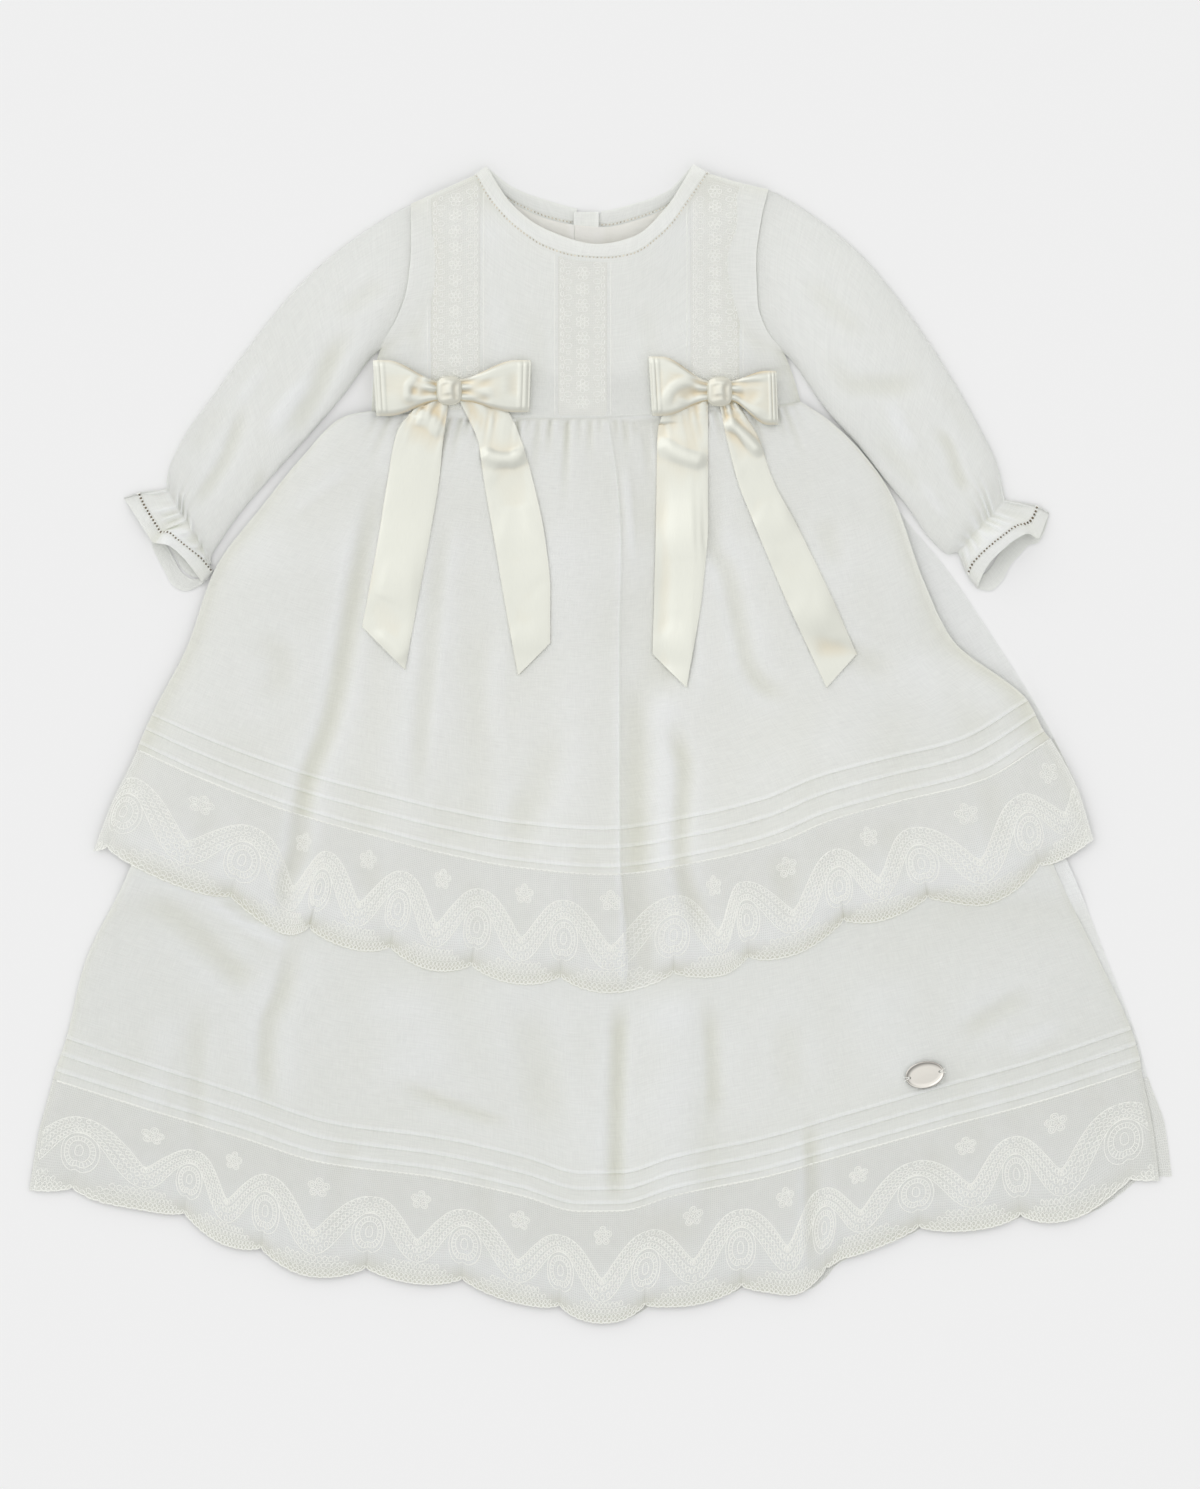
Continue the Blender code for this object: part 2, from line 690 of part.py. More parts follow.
# Sections across a sleeve: its outer edge, its edge along the underarm, how far the section bows
# along the sleeve, towards the neck, and the sleeve's height there.
Section = namedtuple("Section", "outer_x outer_y inner_x inner_y bow height")
SLEEVES = {
    "left": [
        Section(-107, 302, -124, 222, 9, 4.2),
        Section(-128, 291, -137, 209, 8, 5.0),
        Section(-151, 274, -146, 193, 6, 5.6),
        Section(-177, 247, -162, 174, 4, 5.6),
        Section(-199, 219, -181, 153, 2, 5.6),
        Section(-218, 193, -200, 131, 1, 5.6),
        Section(-233, 172, -211, 116, 0, 5.4),
        Section(-242, 152, -218, 104, 0, 5.0),
        Section(-243, 143, -218, 101, 0, 4.4),
    ],
    "right": [
        Section(95, 310, 103, 220, 12, 4.2),
        Section(113, 302, 117, 206, 10, 5.0),
        Section(135, 285, 127, 186, 7, 5.6),
        Section(157, 261, 143, 168, 4, 5.6),
        Section(176, 236, 158, 149, 2, 5.6),
        Section(195, 207, 172, 132, 1, 5.6),
        Section(210, 181, 184, 115, 0, 5.4),
        Section(221, 157, 195, 105, 0, 5.0),
        Section(225, 143, 200, 105, 0, 4.4),
    ],
}
CUFFS = {
    "left": [
        Section(-243.8, 142.4, -218.8, 100.2, 0, 4.4),
        Section(-252, 141, -222, 97, 0, 5.2),
        Section(-258, 138, -226, 93, 2, 5.6),
    ],
    "right": [
        Section(225.6, 142.3, 200.4, 104.3, 0, 4.4),
        Section(234, 139, 202, 99, 0, 5.2),
        Section(242, 136, 204, 95, 2, 5.6),
    ],
}
SLEEVE_AROUND = 20
ARMHOLE_SEAM = 1.1  # gap between a sleeve and the bodice's armhole
FRILL_AROUND = 28
FRILL_WAVE = 1.0
LIP = 8.0  # how far the lower half of a cuff's mouth reaches past the upper
CUFF_BAND = 6.0
TUBE_EDGE = 1.6  # height of a flattened tube's side edges, above which its upper half swells
GATHERED_WAVE = 0.5  # waves of the sleeve's end, above its gathered wrist
UPPER_FROM = 2.5  # above this height the cloth is a tube's upper half, which alone is gathered


def tube_point(section, outwards, turn, height, lip=0.0):
    """A point of a flattened tube: turn goes over the top from the outer edge, then back below."""
    angle = 2 * math.pi * turn
    t = (1 - math.cos(angle)) / 2
    lens = math.sin(math.pi * t)
    x = mix(section.outer_x, section.inner_x, t)
    y = mix(section.outer_y, section.inner_y, t)
    upper = math.sin(angle) >= -1e-9
    reach = -section.bow * lens + (0.0 if upper else lip * lens)
    if upper:
        z = TUBE_EDGE + (height - TUBE_EDGE) * abs(math.sin(angle)) ** 0.8
    else:
        z = TUBE_EDGE * (1 - min(1.0, 2.6 * abs(math.sin(angle))))
    return x + outwards.x * reach, y + outwards.y * reach, z


def section_at(table, v):
    """The section at v along a sleeve, 0 at its start and 1 at its end."""
    rows = len(table) - 1
    fields = [
        smooth([(i / rows, getattr(row, field)) for i, row in enumerate(table)], v)
        for field in Section._fields
    ]
    return Section(*fields)


def along_arm(table):
    """The direction out along a sleeve's last stretch."""
    first, last = table[max(len(table) - 4, 0)], table[-1]
    out = Vector(
        (
            last.outer_x + last.inner_x - first.outer_x - first.inner_x,
            last.outer_y + last.inner_y - first.outer_y - first.inner_y,
        )
    )
    return out.normalized()


def sleeves():
    for side, table in SLEEVES.items():
        arm = along_arm(table)
        out = -1.0 if side == "left" else 1.0

        def place(turn, v, table=table, arm=arm, out=out, side=side):
            section = section_at(table, v)
            outwards = Vector((out, 0.0)).lerp(arm, v)
            x, y, z = tube_point(section, outwards, turn, section.height)
            t = (1 - math.cos(2 * math.pi * turn)) / 2
            seam = Vector((out * (1 - 0.3 * t), 0.6 * t)).normalized() * ARMHOLE_SEAM
            armhole_x = column(SIDES, "turn", f"{side}_x", t) + seam.x
            armhole_y = column(SIDES, "turn", f"{side}_y", t) + seam.y
            away = ease(v, 0, 0.35)
            x, y = mix(armhole_x, x, away), mix(armhole_y, y, away)
            crest = round(turn * SLEEVE_AROUND) % 2
            return x, y, z + GATHERED_WAVE * crest * ease(v, 0.86, 1.0) * (z > UPPER_FROM)

        cloth(
            f"sleeve_{side}",
            even(SLEEVE_AROUND),
            even(8),
            place,
            "voile",
            inward=True,
            rolled=True,
        )


def cuffs():
    for side, table in CUFFS.items():
        arm = along_arm(table)

        def frill(turn, v, table=table, arm=arm):
            section = section_at(table, v)
            x, y, z = tube_point(section, arm, turn, section.height, LIP * v)
            crest = round(turn * FRILL_AROUND) % 2
            wave = FRILL_WAVE * crest * math.sin(math.pi * min(v * 1.2, 1.0))
            return x, y, z + wave * (z > UPPER_FROM)

        cloth(
            f"cuff_frill_{side}",
            even(FRILL_AROUND),
            even(3),
            frill,
            "voile",
            inward=True,
            rolled=True,
        )

        def band(turn, v, table=table, arm=arm):
            x, y, z = tube_point(table[-1], arm, turn, table[-1].height, LIP)
            out = SEAM + (CUFF_BAND - SEAM) * v
            return x + arm.x * out, y + arm.y * out, z

        cloth(
            f"cuff_binding_{side}",
            even(FRILL_AROUND),
            even(1),
            band,
            "voile",
            inward=True,
            rolled=True,
        )


# ---------------------------------------------------------------- bows

# A loop of ribbon: the two ends of its edge at the knot, and of its far, folded edge.
Loop = namedtuple("Loop", "name knot_x knot_top knot_bottom end_x end_top low_x end_bottom")
LOOPS = [
    Loop("bow_left_loop_outer", -92.4, 204, 191, -127, 214, -125, 186),
    Loop("bow_left_loop_inner", -76.6, 205, 190, -40, 214, -41, 189),
    Loop("bow_right_loop_inner", 58.6, 204, 190, 28, 216, 30, 187),
    Loop("bow_right_loop_outer", 74.4, 204, 190, 99, 206, 100, 180),
]
# A knot: its middle and its half sizes.
Knot = namedtuple("Knot", "name x y half_x half_y")
KNOTS = [
    Knot("bow_left_knot", -84.5, 197, 7.6, 8.2),
    Knot("bow_right_knot", 66.5, 196.5, 7.6, 8.4),
]
# A tail of ribbon, as lines across it from the knot down. The last one is the slanting cut.
Across = namedtuple("Across", "left_x left_y right_x right_y")
TAILS = {
    "bow_left_tail_outer": [
        Across(-94, 189.5, -84.5, 189.8),
        Across(-114, 175, -88, 167),
        Across(-119, 146, -90, 148),
        Across(-124, 114, -95, 117),
        Across(-129, 86, -101, 84),
        Across(-133, 65, -109, 41),
    ],
    "bow_left_tail_inner": [
        Across(-84, 189.8, -74, 189.5),
        Across(-68, 167, -46, 174),
        Across(-65, 146, -38, 148),
        Across(-59, 112, -31, 115),
        Across(-54, 82, -28, 86),
        Across(-46, 38, -28, 56),
    ],
    "bow_right_tail_inner": [
        Across(57, 188.4, 66, 188.4),
        Across(32, 175, 60, 165),
        Across(31, 126, 60, 125),
        Across(30, 86, 57, 86),
        Across(29, 50, 48, 31),
    ],
    "bow_right_tail_outer": [
        Across(67, 188.4, 76, 188.4),
        Across(71, 168, 88, 171),
        Across(77, 145, 96, 148),
        Across(86, 122, 110, 121),
        Across(100, 88, 127, 86),
        Across(126, 31, 143, 50),
    ],
}


def ribbon_base(x, y):
    """Underside of a ribbon lying on the bodice, on the waist seam or on the overskirt."""
    on_bodice = bodice_height(x, min(y, 300)) + 2 * CLOTH + LACE_LAY
    on_skirt = over_top(x, min(y, WAIST_Y + 8)) + GATHER_HEIGHT * ease(y, 140, 176)
    return mix(on_skirt, max(on_bodice, on_skirt), ease(y, 176, 190)) + LAY


def loops():
    for loop in LOOPS:
        middle_x = (loop.knot_x + loop.end_x) / 2
        middle_y = (loop.end_top + loop.end_bottom) / 2
        base = max(
            ribbon_base(x, y)
            for x in (loop.knot_x, middle_x, loop.end_x)
            for y in (loop.end_top, middle_y, loop.end_bottom)
        )

        def place(path, v, loop=loop, base=base):
            """path goes out below, round the fold and back above. v runs down the ribbon's width."""
            out = 1 - abs(2 * path - 1)
            spread = ease(out, 0.0, 0.75)
            top = mix(loop.knot_top, loop.end_top, spread)
            bottom = mix(loop.knot_bottom, loop.end_bottom, spread)
            far_x = mix(loop.end_x, loop.low_x, v)
            x = mix(loop.knot_x, far_x, min(out * 1.06, 1.0))
            swell = (LOOP_HEIGHT - RIBBON) / 2
            half = swell * mix(0.55, 1.0, ease(out, 0, 0.4)) * (1 - ease(out, 0.86, 1.0)) ** 0.5
            side = -1 if path < 0.5 else 1
            return x, mix(top, bottom, v), base + RIBBON / 2 + swell + side * half

        path = [0, 0.15, 0.3, 0.4, 0.46, 0.49, 0.5, 0.51, 0.54, 0.6, 0.7, 0.85, 1]
        thing = cloth(loop.name, path, even(3), place, "satin", RIBBON)
        thing.modifiers["wall"].offset = 0.0


KNOT_SINK = 0.6  # how far a knot settles below the ribbon beside it
KNOT_FULLNESS = 0.8  # 1 is an ellipsoid, and less is squarer
KNOT_GROOVE = 0.06


def knots():
    for knot in KNOTS:
        mesh = bpy.data.meshes.new(knot.name)
        ball = bmesh.new()
        bmesh.ops.create_uvsphere(ball, u_segments=14, v_segments=8, radius=1.0)
        base = ribbon_base(knot.x, knot.y) - KNOT_SINK
        for point in ball.verts:
            x, y, z = (math.copysign(abs(c) ** KNOT_FULLNESS, c) for c in point.co)
            groove = 1 - KNOT_GROOVE * abs(math.sin(3 * math.pi * x))
            point.co = Vector(
                (
                    knot.x + knot.half_x * x,
                    knot.y + knot.half_y * y,
                    base + KNOT_HEIGHT / 2 * (1 + z * groove),
                )
            ) * MM
        ball.to_mesh(mesh)
        ball.free()
        mesh.shade_smooth()
        add(knot.name, mesh, "satin")


def tails():
    for name, table in TAILS.items():
        rows = len(table) - 1

        def place(u, v, table=table, rows=rows):
            edge = [
                smooth([(i / rows, getattr(row, field)) for i, row in enumerate(table)], v)
                for field in Across._fields
            ]
            x, y = mix(edge[0], edge[2], u), mix(edge[1], edge[3], u)
            return x, y, ribbon_base(x, y)

        cloth(name, even(3), even(11), place, "satin", RIBBON)


def hem_plate():
    x, y = PLATE_X, PLATE_Y
    reach = 9.0
    near = [(x + i * reach, y + j * reach) for i in (-1, 0, 1) for j in (-1, 0, 1)]
    top = max(under_height(*spot) for spot in near) + CLOTH
    place = (x, y, top + LAY)
    angle = math.radians(PLATE_TILT)
    disc_piece(
        "hem_plate", PLATE_LENGTH / 2, PLATE_WIDTH / 2, PLATE_THICK, place, angle, "plate", 28
    )


clear_scene()
skirt_backs()
underskirt_front()
underskirt_lace_front()
overskirt_front()
overskirt_lace_front()
bodice()
lace_strips()
inside_back()
neck_binding()
sleeves()
cuffs()
loops()
knots()
tails()
hem_plate()
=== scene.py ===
"""The looks of a christening gown that lies flat with its front up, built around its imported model."""

import math
from collections import namedtuple

import bpy
import numpy as np
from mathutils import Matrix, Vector


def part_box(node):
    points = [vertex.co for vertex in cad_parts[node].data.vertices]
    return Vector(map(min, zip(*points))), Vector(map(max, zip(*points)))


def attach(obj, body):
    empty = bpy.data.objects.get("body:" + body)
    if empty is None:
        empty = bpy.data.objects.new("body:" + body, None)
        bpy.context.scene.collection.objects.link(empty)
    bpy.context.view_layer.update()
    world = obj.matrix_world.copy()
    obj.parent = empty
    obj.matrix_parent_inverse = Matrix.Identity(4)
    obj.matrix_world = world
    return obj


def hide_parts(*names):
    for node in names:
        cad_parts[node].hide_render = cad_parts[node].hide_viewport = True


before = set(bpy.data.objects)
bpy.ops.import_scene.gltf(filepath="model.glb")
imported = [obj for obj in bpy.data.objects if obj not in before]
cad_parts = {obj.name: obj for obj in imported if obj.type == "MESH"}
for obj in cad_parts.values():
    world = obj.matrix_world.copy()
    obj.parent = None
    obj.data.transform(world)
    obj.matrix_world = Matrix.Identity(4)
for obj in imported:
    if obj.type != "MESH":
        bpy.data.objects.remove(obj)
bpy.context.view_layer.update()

# ---------------------------------------------------------------- camera, floor and light
# The gown is seen from straight above through a long lens. It lies on a plain pale floor, in even
# light from all round, with a wide soft light from the upper left.

MM = 0.001  # sizes below are in millimetres
VIEW_HEIGHT = 834.0
VIEW_X, VIEW_Y = -0.3, -0.6
CAMERA_HEIGHT = 3200.0
SENSOR = 24.0

bpy.ops.object.select_all(action="DESELECT")
bpy.ops.object.camera_add(location=(VIEW_X * MM, VIEW_Y * MM, CAMERA_HEIGHT * MM), rotation=(0, 0, 0))
camera = bpy.context.object
camera.data.sensor_fit = "VERTICAL"
camera.data.sensor_height = SENSOR
camera.data.lens = SENSOR * CAMERA_HEIGHT / VIEW_HEIGHT
camera.data.clip_end = 200
bpy.context.scene.camera = camera
bpy.context.scene.view_settings.view_transform = "Standard"

FLOOR_COLOUR = (0.907, 0.907, 0.907, 1)


def new_material(name, **values):
    """A new material and its node tree, with plain values set on its shader's own sockets."""
    material = bpy.data.materials.new(name)
    material.use_nodes = True
    shader = material.node_tree.nodes["Principled BSDF"]
    for label, value in values.items():
        shader.inputs[label.replace("_", " ")].default_value = value
    return material, material.node_tree


def join(tree, kind, *values, **settings):
    """Adds a node, links or sets its inputs in order, and gives its first output."""
    node = tree.nodes.new(f"ShaderNode{kind}")
    for key, value in settings.items():
        setattr(node, key, value)
    for socket, value in zip(node.inputs, values):
        if isinstance(value, bpy.types.NodeSocket):
            tree.links.new(value, socket)
        elif value is not None:
            socket.default_value = value
    return node.outputs[0]


bpy.ops.mesh.primitive_plane_add(size=30)
floor = bpy.context.object
floor.name = "floor"
paper, _ = new_material("floor_paper", Base_Color=FLOOR_COLOUR, Roughness=1.0, Specular_IOR_Level=0.0)
floor.data.materials.append(paper)

SKY_STRENGTH = 0.885
SUN_STRENGTH = 0.42  # watts a square metre, seen square on
SUN_WIDTH = math.radians(62)
SUN_FROM = Vector((-0.62, 0.50, 0.50))

world = bpy.data.worlds.new("studio")
bpy.context.scene.world = world
world.use_nodes = True
room = world.node_tree
room.nodes["Background"].inputs["Color"].default_value = (1, 1, 1, 1)
# Satin and metal mirror a wide bright window on the upper left, and a dimmer room away from it.
WINDOW_FROM = (-0.34, 0.42, 0.84)
WINDOW_EDGE = 0.35  # the cosine of the angle from the window's middle where its light has faded out
WINDOW_DIM, WINDOW_BRIGHT = 0.42, 1.35
way = join(room, "TexCoord").node.outputs["Generated"]
near = join(room, "VectorMath", way, WINDOW_FROM, operation="DOT_PRODUCT").node.outputs["Value"]
window = (near, WINDOW_EDGE, 1.0, WINDOW_DIM, WINDOW_BRIGHT)
window = join(room, "MapRange", *window, interpolation_type="SMOOTHSTEP")
glossy = join(room, "LightPath").node.outputs["Is Glossy Ray"]
mirrored = join(room, "Mix", glossy, None, SKY_STRENGTH, window)
room.links.new(mirrored, room.nodes["Background"].inputs["Strength"])

bpy.ops.object.light_add(type="SUN", location=(-1, 1, 2))
sun = bpy.context.object
sun.data.energy = SUN_STRENGTH
sun.data.angle = SUN_WIDTH
sun.rotation_mode = "QUATERNION"
sun.rotation_quaternion = SUN_FROM.to_track_quat("Z", "Y")

# ---------------------------------------------------------------- backs of the two skirts
# The skirt's backs are plain voile panels that lie flat on the floor, the underskirt's on the
# overskirt's. Each has an edge of embroidered tulle, like the front's.

CLOTH = 1.0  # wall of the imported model's cloth; the real cloth lies in its middle
VOILE = 0.45  # thickness of the voile, with its fuzz
TULLE = 0.35
LAY = 0.4
WAIST_Y = 182.0


def rows_of(kind, *rows):
    """A table, with named columns."""
    return [kind(*row) for row in rows]


Row = namedtuple("Row", "station left_x left_y right_x right_y back_x back_y")
OVERSKIRT = rows_of(
    Row,
    (0, -128, 186, 112, 191, 111, 191), (16, -143, 183, 126, 182, 125, 182), (46, -167, 160, 146, 163, 148, 161),
    (86, -190, 132, 164, 137, 169, 128), (130, -216, 97, 180, 93, 195, 96), (181, -231, 55, 197, 58, 218, 62),
    (230, -251, 16, 239, 24, 243, 23), (251, -258, 0, 248, 7, 252, 7), (257, -260, -5, 253, 1, 255, 1),
    (287, -272, -32, 267, -26, 267, -26), (315, -284, -60, 276, -49, 275, -49),
)
UNDERSKIRT = rows_of(
    Row,
    (1, -124, 184, 108, 188, 107, 188), (46, -150, 146, 132, 148, 132, 148), (130, -198, 84, 162, 82, 174, 84),
    (230, -233, 8, 215, 13, 222, 13), (287, -252, -42, 240, -34, 246, -34), (321, -266, -76, 256, -74, 264, -72),
    (374, -289, -124, 279, -121, 284, -122), (423, -299, -165, 297, -160, 301, -167),
    (440, -305, -183, 302, -177, 305, -182), (446, -307, -190, 303, -184, 307, -188),
    (478, -315, -222, 309, -216, 316, -216), (501, -320, -248, 313, -243, 320, -242),
)
Bow = namedtuple("Bow", "across share")
OVERSKIRT_BOW = rows_of(
    Bow,
    (0, 0), (0.065, 0.21), (0.14, 0.42), (0.19, 0.54), (0.27, 0.70), (0.34, 0.83), (0.42, 0.94), (0.52, 1.0),
    (0.63, 0.89), (0.70, 0.77), (0.76, 0.60), (0.83, 0.47), (0.92, 0.32), (1, 0),
)
UNDERSKIRT_BOW = rows_of(
    Bow,
    (0, 0), (0.08, 0.20), (0.17, 0.42), (0.25, 0.62), (0.35, 0.73), (0.43, 0.87), (0.485, 0.99), (0.52, 0.99),
    (0.57, 0.88), (0.65, 0.76), (0.74, 0.57), (0.82, 0.40), (0.90, 0.24), (1, 0),
)
SCALLOP_DROP = 7.5
# Where the middles of the scallops fall across each lace. repeat counts the pattern's repeats, and
# is a half at a scallop's tip.
Repeat = namedtuple("Repeat", "across repeat")
OVER_REPEATS = rows_of(
    Repeat,
    (0, -0.2), (0.014, 0), (0.081, 0.5), (0.137, 1), (0.190, 1.5), (0.216, 2), (0.258, 2.5), (0.297, 3),
    (0.337, 3.5), (0.378, 4), (0.424, 4.5), (0.467, 5), (0.516, 5.5), (0.580, 6), (0.626, 6.5), (0.655, 7),
    (0.703, 7.5), (0.750, 8), (0.790, 8.5), (0.834, 9), (0.894, 9.5), (0.946, 10), (0.982, 10.5), (1, 10.7),
)
UNDER_REPEATS = rows_of(
    Repeat,
    (0, -0.4), (0.038, 0), (0.098, 0.5), (0.137, 1), (0.171, 1.5), (0.205, 2), (0.248, 2.5), (0.298, 3),
    (0.341, 3.5), (0.383, 4), (0.431, 4.5), (0.469, 5), (0.506, 5.5), (0.545, 6), (0.588, 6.5), (0.630, 7),
    (0.672, 7.5), (0.705, 8), (0.738, 8.5), (0.787, 9), (0.836, 9.5), (0.877, 10), (0.917, 10.5), (0.974, 11),
    (1, 11.25),
)
# How much higher than its row the lace's edge lies, where it isn't pulled straight.
Rise = namedtuple("Rise", "across rise")
OVER_RISES = rows_of(
    Rise,
    (0, 4), (0.081, 7), (0.137, 5), (0.19, 0.5), (0.258, 2), (0.34, 1), (0.424, 1.5), (0.516, 0), (0.63, 0),
    (0.703, 1), (0.79, 1.5), (0.85, 0), (0.894, -4), (0.94, -1), (0.978, 1), (1, 1),
)
UNDER_RISES = rows_of(
    Rise,
    (0, 4), (0.05, 5.5), (0.107, 11), (0.174, 4), (0.243, 0), (0.34, 3), (0.44, 3), (0.505, 0), (0.588, -0.5),
    (0.65, -2), (0.682, -6), (0.70, -4), (0.722, 6), (0.75, 8), (0.83, 5), (0.90, -2), (0.928, -3), (0.98, 3),
    (1, 3),
)
Tier = namedtuple("Tier", "name rows bow repeats rises lace_top lace_end")
OVER = Tier("overskirt", OVERSKIRT, OVERSKIRT_BOW, OVER_REPEATS, OVER_RISES, 255.0, 315.0)
UNDER = Tier("underskirt", UNDERSKIRT, UNDERSKIRT_BOW, UNDER_REPEATS, UNDER_RISES, 444.0, 500.7)
BACK_IN = 1.5  # how far a back's left edge lies inside the front's


def smooth(places, values, at):
    """The values at many places on the smooth curve through a few points, with no overshoot."""
    places, values = np.array(places, float), np.array(values, float)
    spans = np.diff(places)
    slopes = np.diff(values) / spans
    agree = slopes[:-1] * slopes[1:] > 0
    sums = np.where(agree, slopes[:-1] + slopes[1:], 1.0)
    inner = np.where(agree, 2 * slopes[:-1] * slopes[1:] / sums, 0.0)
    tangents = np.concatenate([slopes[:1], inner, slopes[-1:]])
    at = np.clip(at, places[0], places[-1])
    i = np.clip(np.searchsorted(places, at) - 1, 0, len(spans) - 1)
    t = (at - places[i]) / spans[i]
    rise = (3 - 2 * t) * t * t
    ends = t * (1 - t) ** 2 * tangents[i] + t * t * (t - 1) * tangents[i + 1]
    return values[i] + (values[i + 1] - values[i]) * rise + ends * spans[i]


def column(table, place, value, at):
    return smooth([getattr(row, place) for row in table], [getattr(row, value) for row in table], at)


def ease(value, low, high):
    """0 at low, 1 at high, smooth between."""
    t = np.clip((value - low) / (high - low), 0.0, 1.0)
    return t * t * (3 - 2 * t)


def mix(a, b, t):
    return a + (b - a) * t


def on_row(tier, u, station, back=False):
    """X and Y of points of a skirt: u runs from its left edge, 0, to its right edge, 1."""
    right = "back" if back else "right"
    ends = ("left_x", "left_y", f"{right}_x", f"{right}_y")
    left_x, left_y, right_x, right_y = (column(tier.rows, "station", end, station) for end in ends)
    left_x = left_x + (BACK_IN if back else 0.0)
    drop = (left_y + right_y) / 2 - (WAIST_Y - station)
    share = column(tier.bow, "across", "share", u)
    return mix(left_x, right_x, u), mix(left_y, right_y, u) - drop * share


def lace_edge(tier, back=False):
    """The place of points of a lace edge, whose lower rows drop into scallops with small bites."""
    top, end = tier.lace_top, tier.lace_end

    def at(u, station):
        x, y = on_row(tier, u, station, back)
        repeat = column(tier.repeats, "across", "repeat", u)
        lobe = np.abs(np.sin(np.pi * repeat)) ** 0.7
        bites = 0.45 * np.abs(np.sin(np.pi * repeat * 11))
        lifted = 1.0 + 1.5 * back + column(tier.rises, "across", "rise", u)
        lifted = lifted * ease(station, mix(top, end, 0.1), end)
        return x, y + lifted - (SCALLOP_DROP * lobe + bites) * ease(station, mix(top, end, 0.5), end)

    return at


HOLLOW_SPREAD = 36


def hollows(piece):
    """Marks each point with how far, in millimetres, it lies below the cloth around it."""
    mesh = piece.data
    count = len(mesh.vertices)
    spots = np.empty(count * 3)
    mesh.vertices.foreach_get("co", spots)
    z = spots[2::3] / MM
    ends = np.empty(len(mesh.edges) * 2, int)
    mesh.edges.foreach_get("vertices", ends)
    a, b = ends.reshape(-1, 2).T
    links = np.bincount(a, minlength=count) + np.bincount(b, minlength=count)
    level = z
    for _ in range(HOLLOW_SPREAD):
        level = (np.bincount(a, level[b], count) + np.bincount(b, level[a], count)) / links
    # The materials' painted shade in folds is read from this mark.
    mark = mesh.attributes.get("hollow") or mesh.attributes.new("hollow", "FLOAT", "POINT")
    mark.data.foreach_set("value", level - z)
    return spots.reshape(-1, 3) / MM, level - z


def pick(piece):
    bpy.ops.object.select_all(action="DESELECT")
    piece.select_set(True)
    bpy.context.view_layer.objects.active = piece


def face_outwards(piece, weld=False):
    """Turns a piece's faces outwards, after joining points that lie on each other where it is a tube."""
    pick(piece)
    bpy.ops.object.mode_set(mode="EDIT")
    bpy.ops.mesh.select_all(action="SELECT")
    if weld:
        bpy.ops.mesh.remove_doubles(threshold=0.00001)
    bpy.ops.mesh.normals_make_consistent(inside=False)
    bpy.ops.object.mode_set(mode="OBJECT")


def lay_cloth(name, across, down, place, cut, thick, tube=False):
    """Lays a grid of cloth on the surface place(u, v), in millimetres, and thickens it.

    cut(u, v) gives the same points on the cloth as it was cut, which its weave follows. A tube is
    joined along its two long edges.
    """
    bpy.ops.object.select_all(action="DESELECT")
    bpy.ops.mesh.primitive_grid_add(x_subdivisions=len(across) - 1, y_subdivisions=len(down) - 1, size=1)
    piece = bpy.context.object
    piece.name = name
    mesh = piece.data
    flat = np.empty(len(mesh.vertices) * 3)
    mesh.vertices.foreach_get("co", flat)
    flat = flat.reshape(-1, 3)
    i = np.rint((flat[:, 0] + 0.5) * (len(across) - 1)).astype(int)
    j = np.rint((0.5 - flat[:, 1]) * (len(down) - 1)).astype(int)
    u, v = np.array(across)[i], np.array(down)[j]
    mesh.vertices.foreach_set("co", (np.stack(place(u, v), axis=1) * MM).ravel())
    corners = np.empty(len(mesh.loops), int)
    mesh.loops.foreach_get("vertex_index", corners)
    weave = np.stack(cut(u, v), axis=1) * MM
    mesh.uv_layers.active.data.foreach_set("uv", weave[corners].ravel())
    mesh.update()
    if tube:
        face_outwards(piece, weld=True)
    wall = piece.modifiers.new("thickness", "SOLIDIFY")
    wall.thickness = thick * MM
    wall.offset = -1.0 if tube else 0.0
    hollows(piece)
    bpy.ops.object.modifier_apply(modifier="thickness")
    bpy.ops.object.shade_smooth_by_angle(angle=math.radians(50))
    return piece


def dress(piece, slot, material, *nodes):
    """Gives a finished piece its material and its place in the gown."""
    piece.data.materials.clear()
    piece.data.materials.append(material)
    if nodes:
        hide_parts(*nodes)
    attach(piece, "root")
    return piece


def panel(node, cloth, across, down, place, cut, slot, material, thick=VOILE, tube=False):
    """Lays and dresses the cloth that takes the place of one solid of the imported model."""
    return dress(lay_cloth(f"{node}_{cloth}", across, down, place, cut, thick, tube), slot, material, node)


def new_group(name, inputs, outputs):
    """A shader node group with named number or vector inputs and number outputs."""
    group = bpy.data.node_groups.new(name, "ShaderNodeTree")
    for label, kind, value in inputs:
        socket = group.interface.new_socket(label, in_out="INPUT", socket_type=kind)
        if value is not None:
            socket.default_value = value
    for label in outputs:
        group.interface.new_socket(label, in_out="OUTPUT", socket_type="NodeSocketFloat")
    return group, group.nodes.new("NodeGroupInput").outputs, group.nodes.new("NodeGroupOutput").inputs


def sums(tree, operation, *values):
    return join(tree, "Math", *values, operation=operation)


def scaled(tree, vector, share):
    """A colour or a vector, times a number."""
    node = join(tree, "VectorMath", vector, operation="SCALE").node
    tree.links.new(share, node.inputs["Scale"])
    return node.outputs[0]


def noise(tree, place, scale, detail=2.0):
    return join(tree, "TexNoise", place, None, scale, detail)


def paint(tree, colour, shade):
    """Gives a material its colour, times a shade that varies over it."""
    tree.links.new(scaled(tree, colour, shade), tree.nodes["Principled BSDF"].inputs["Base Color"])


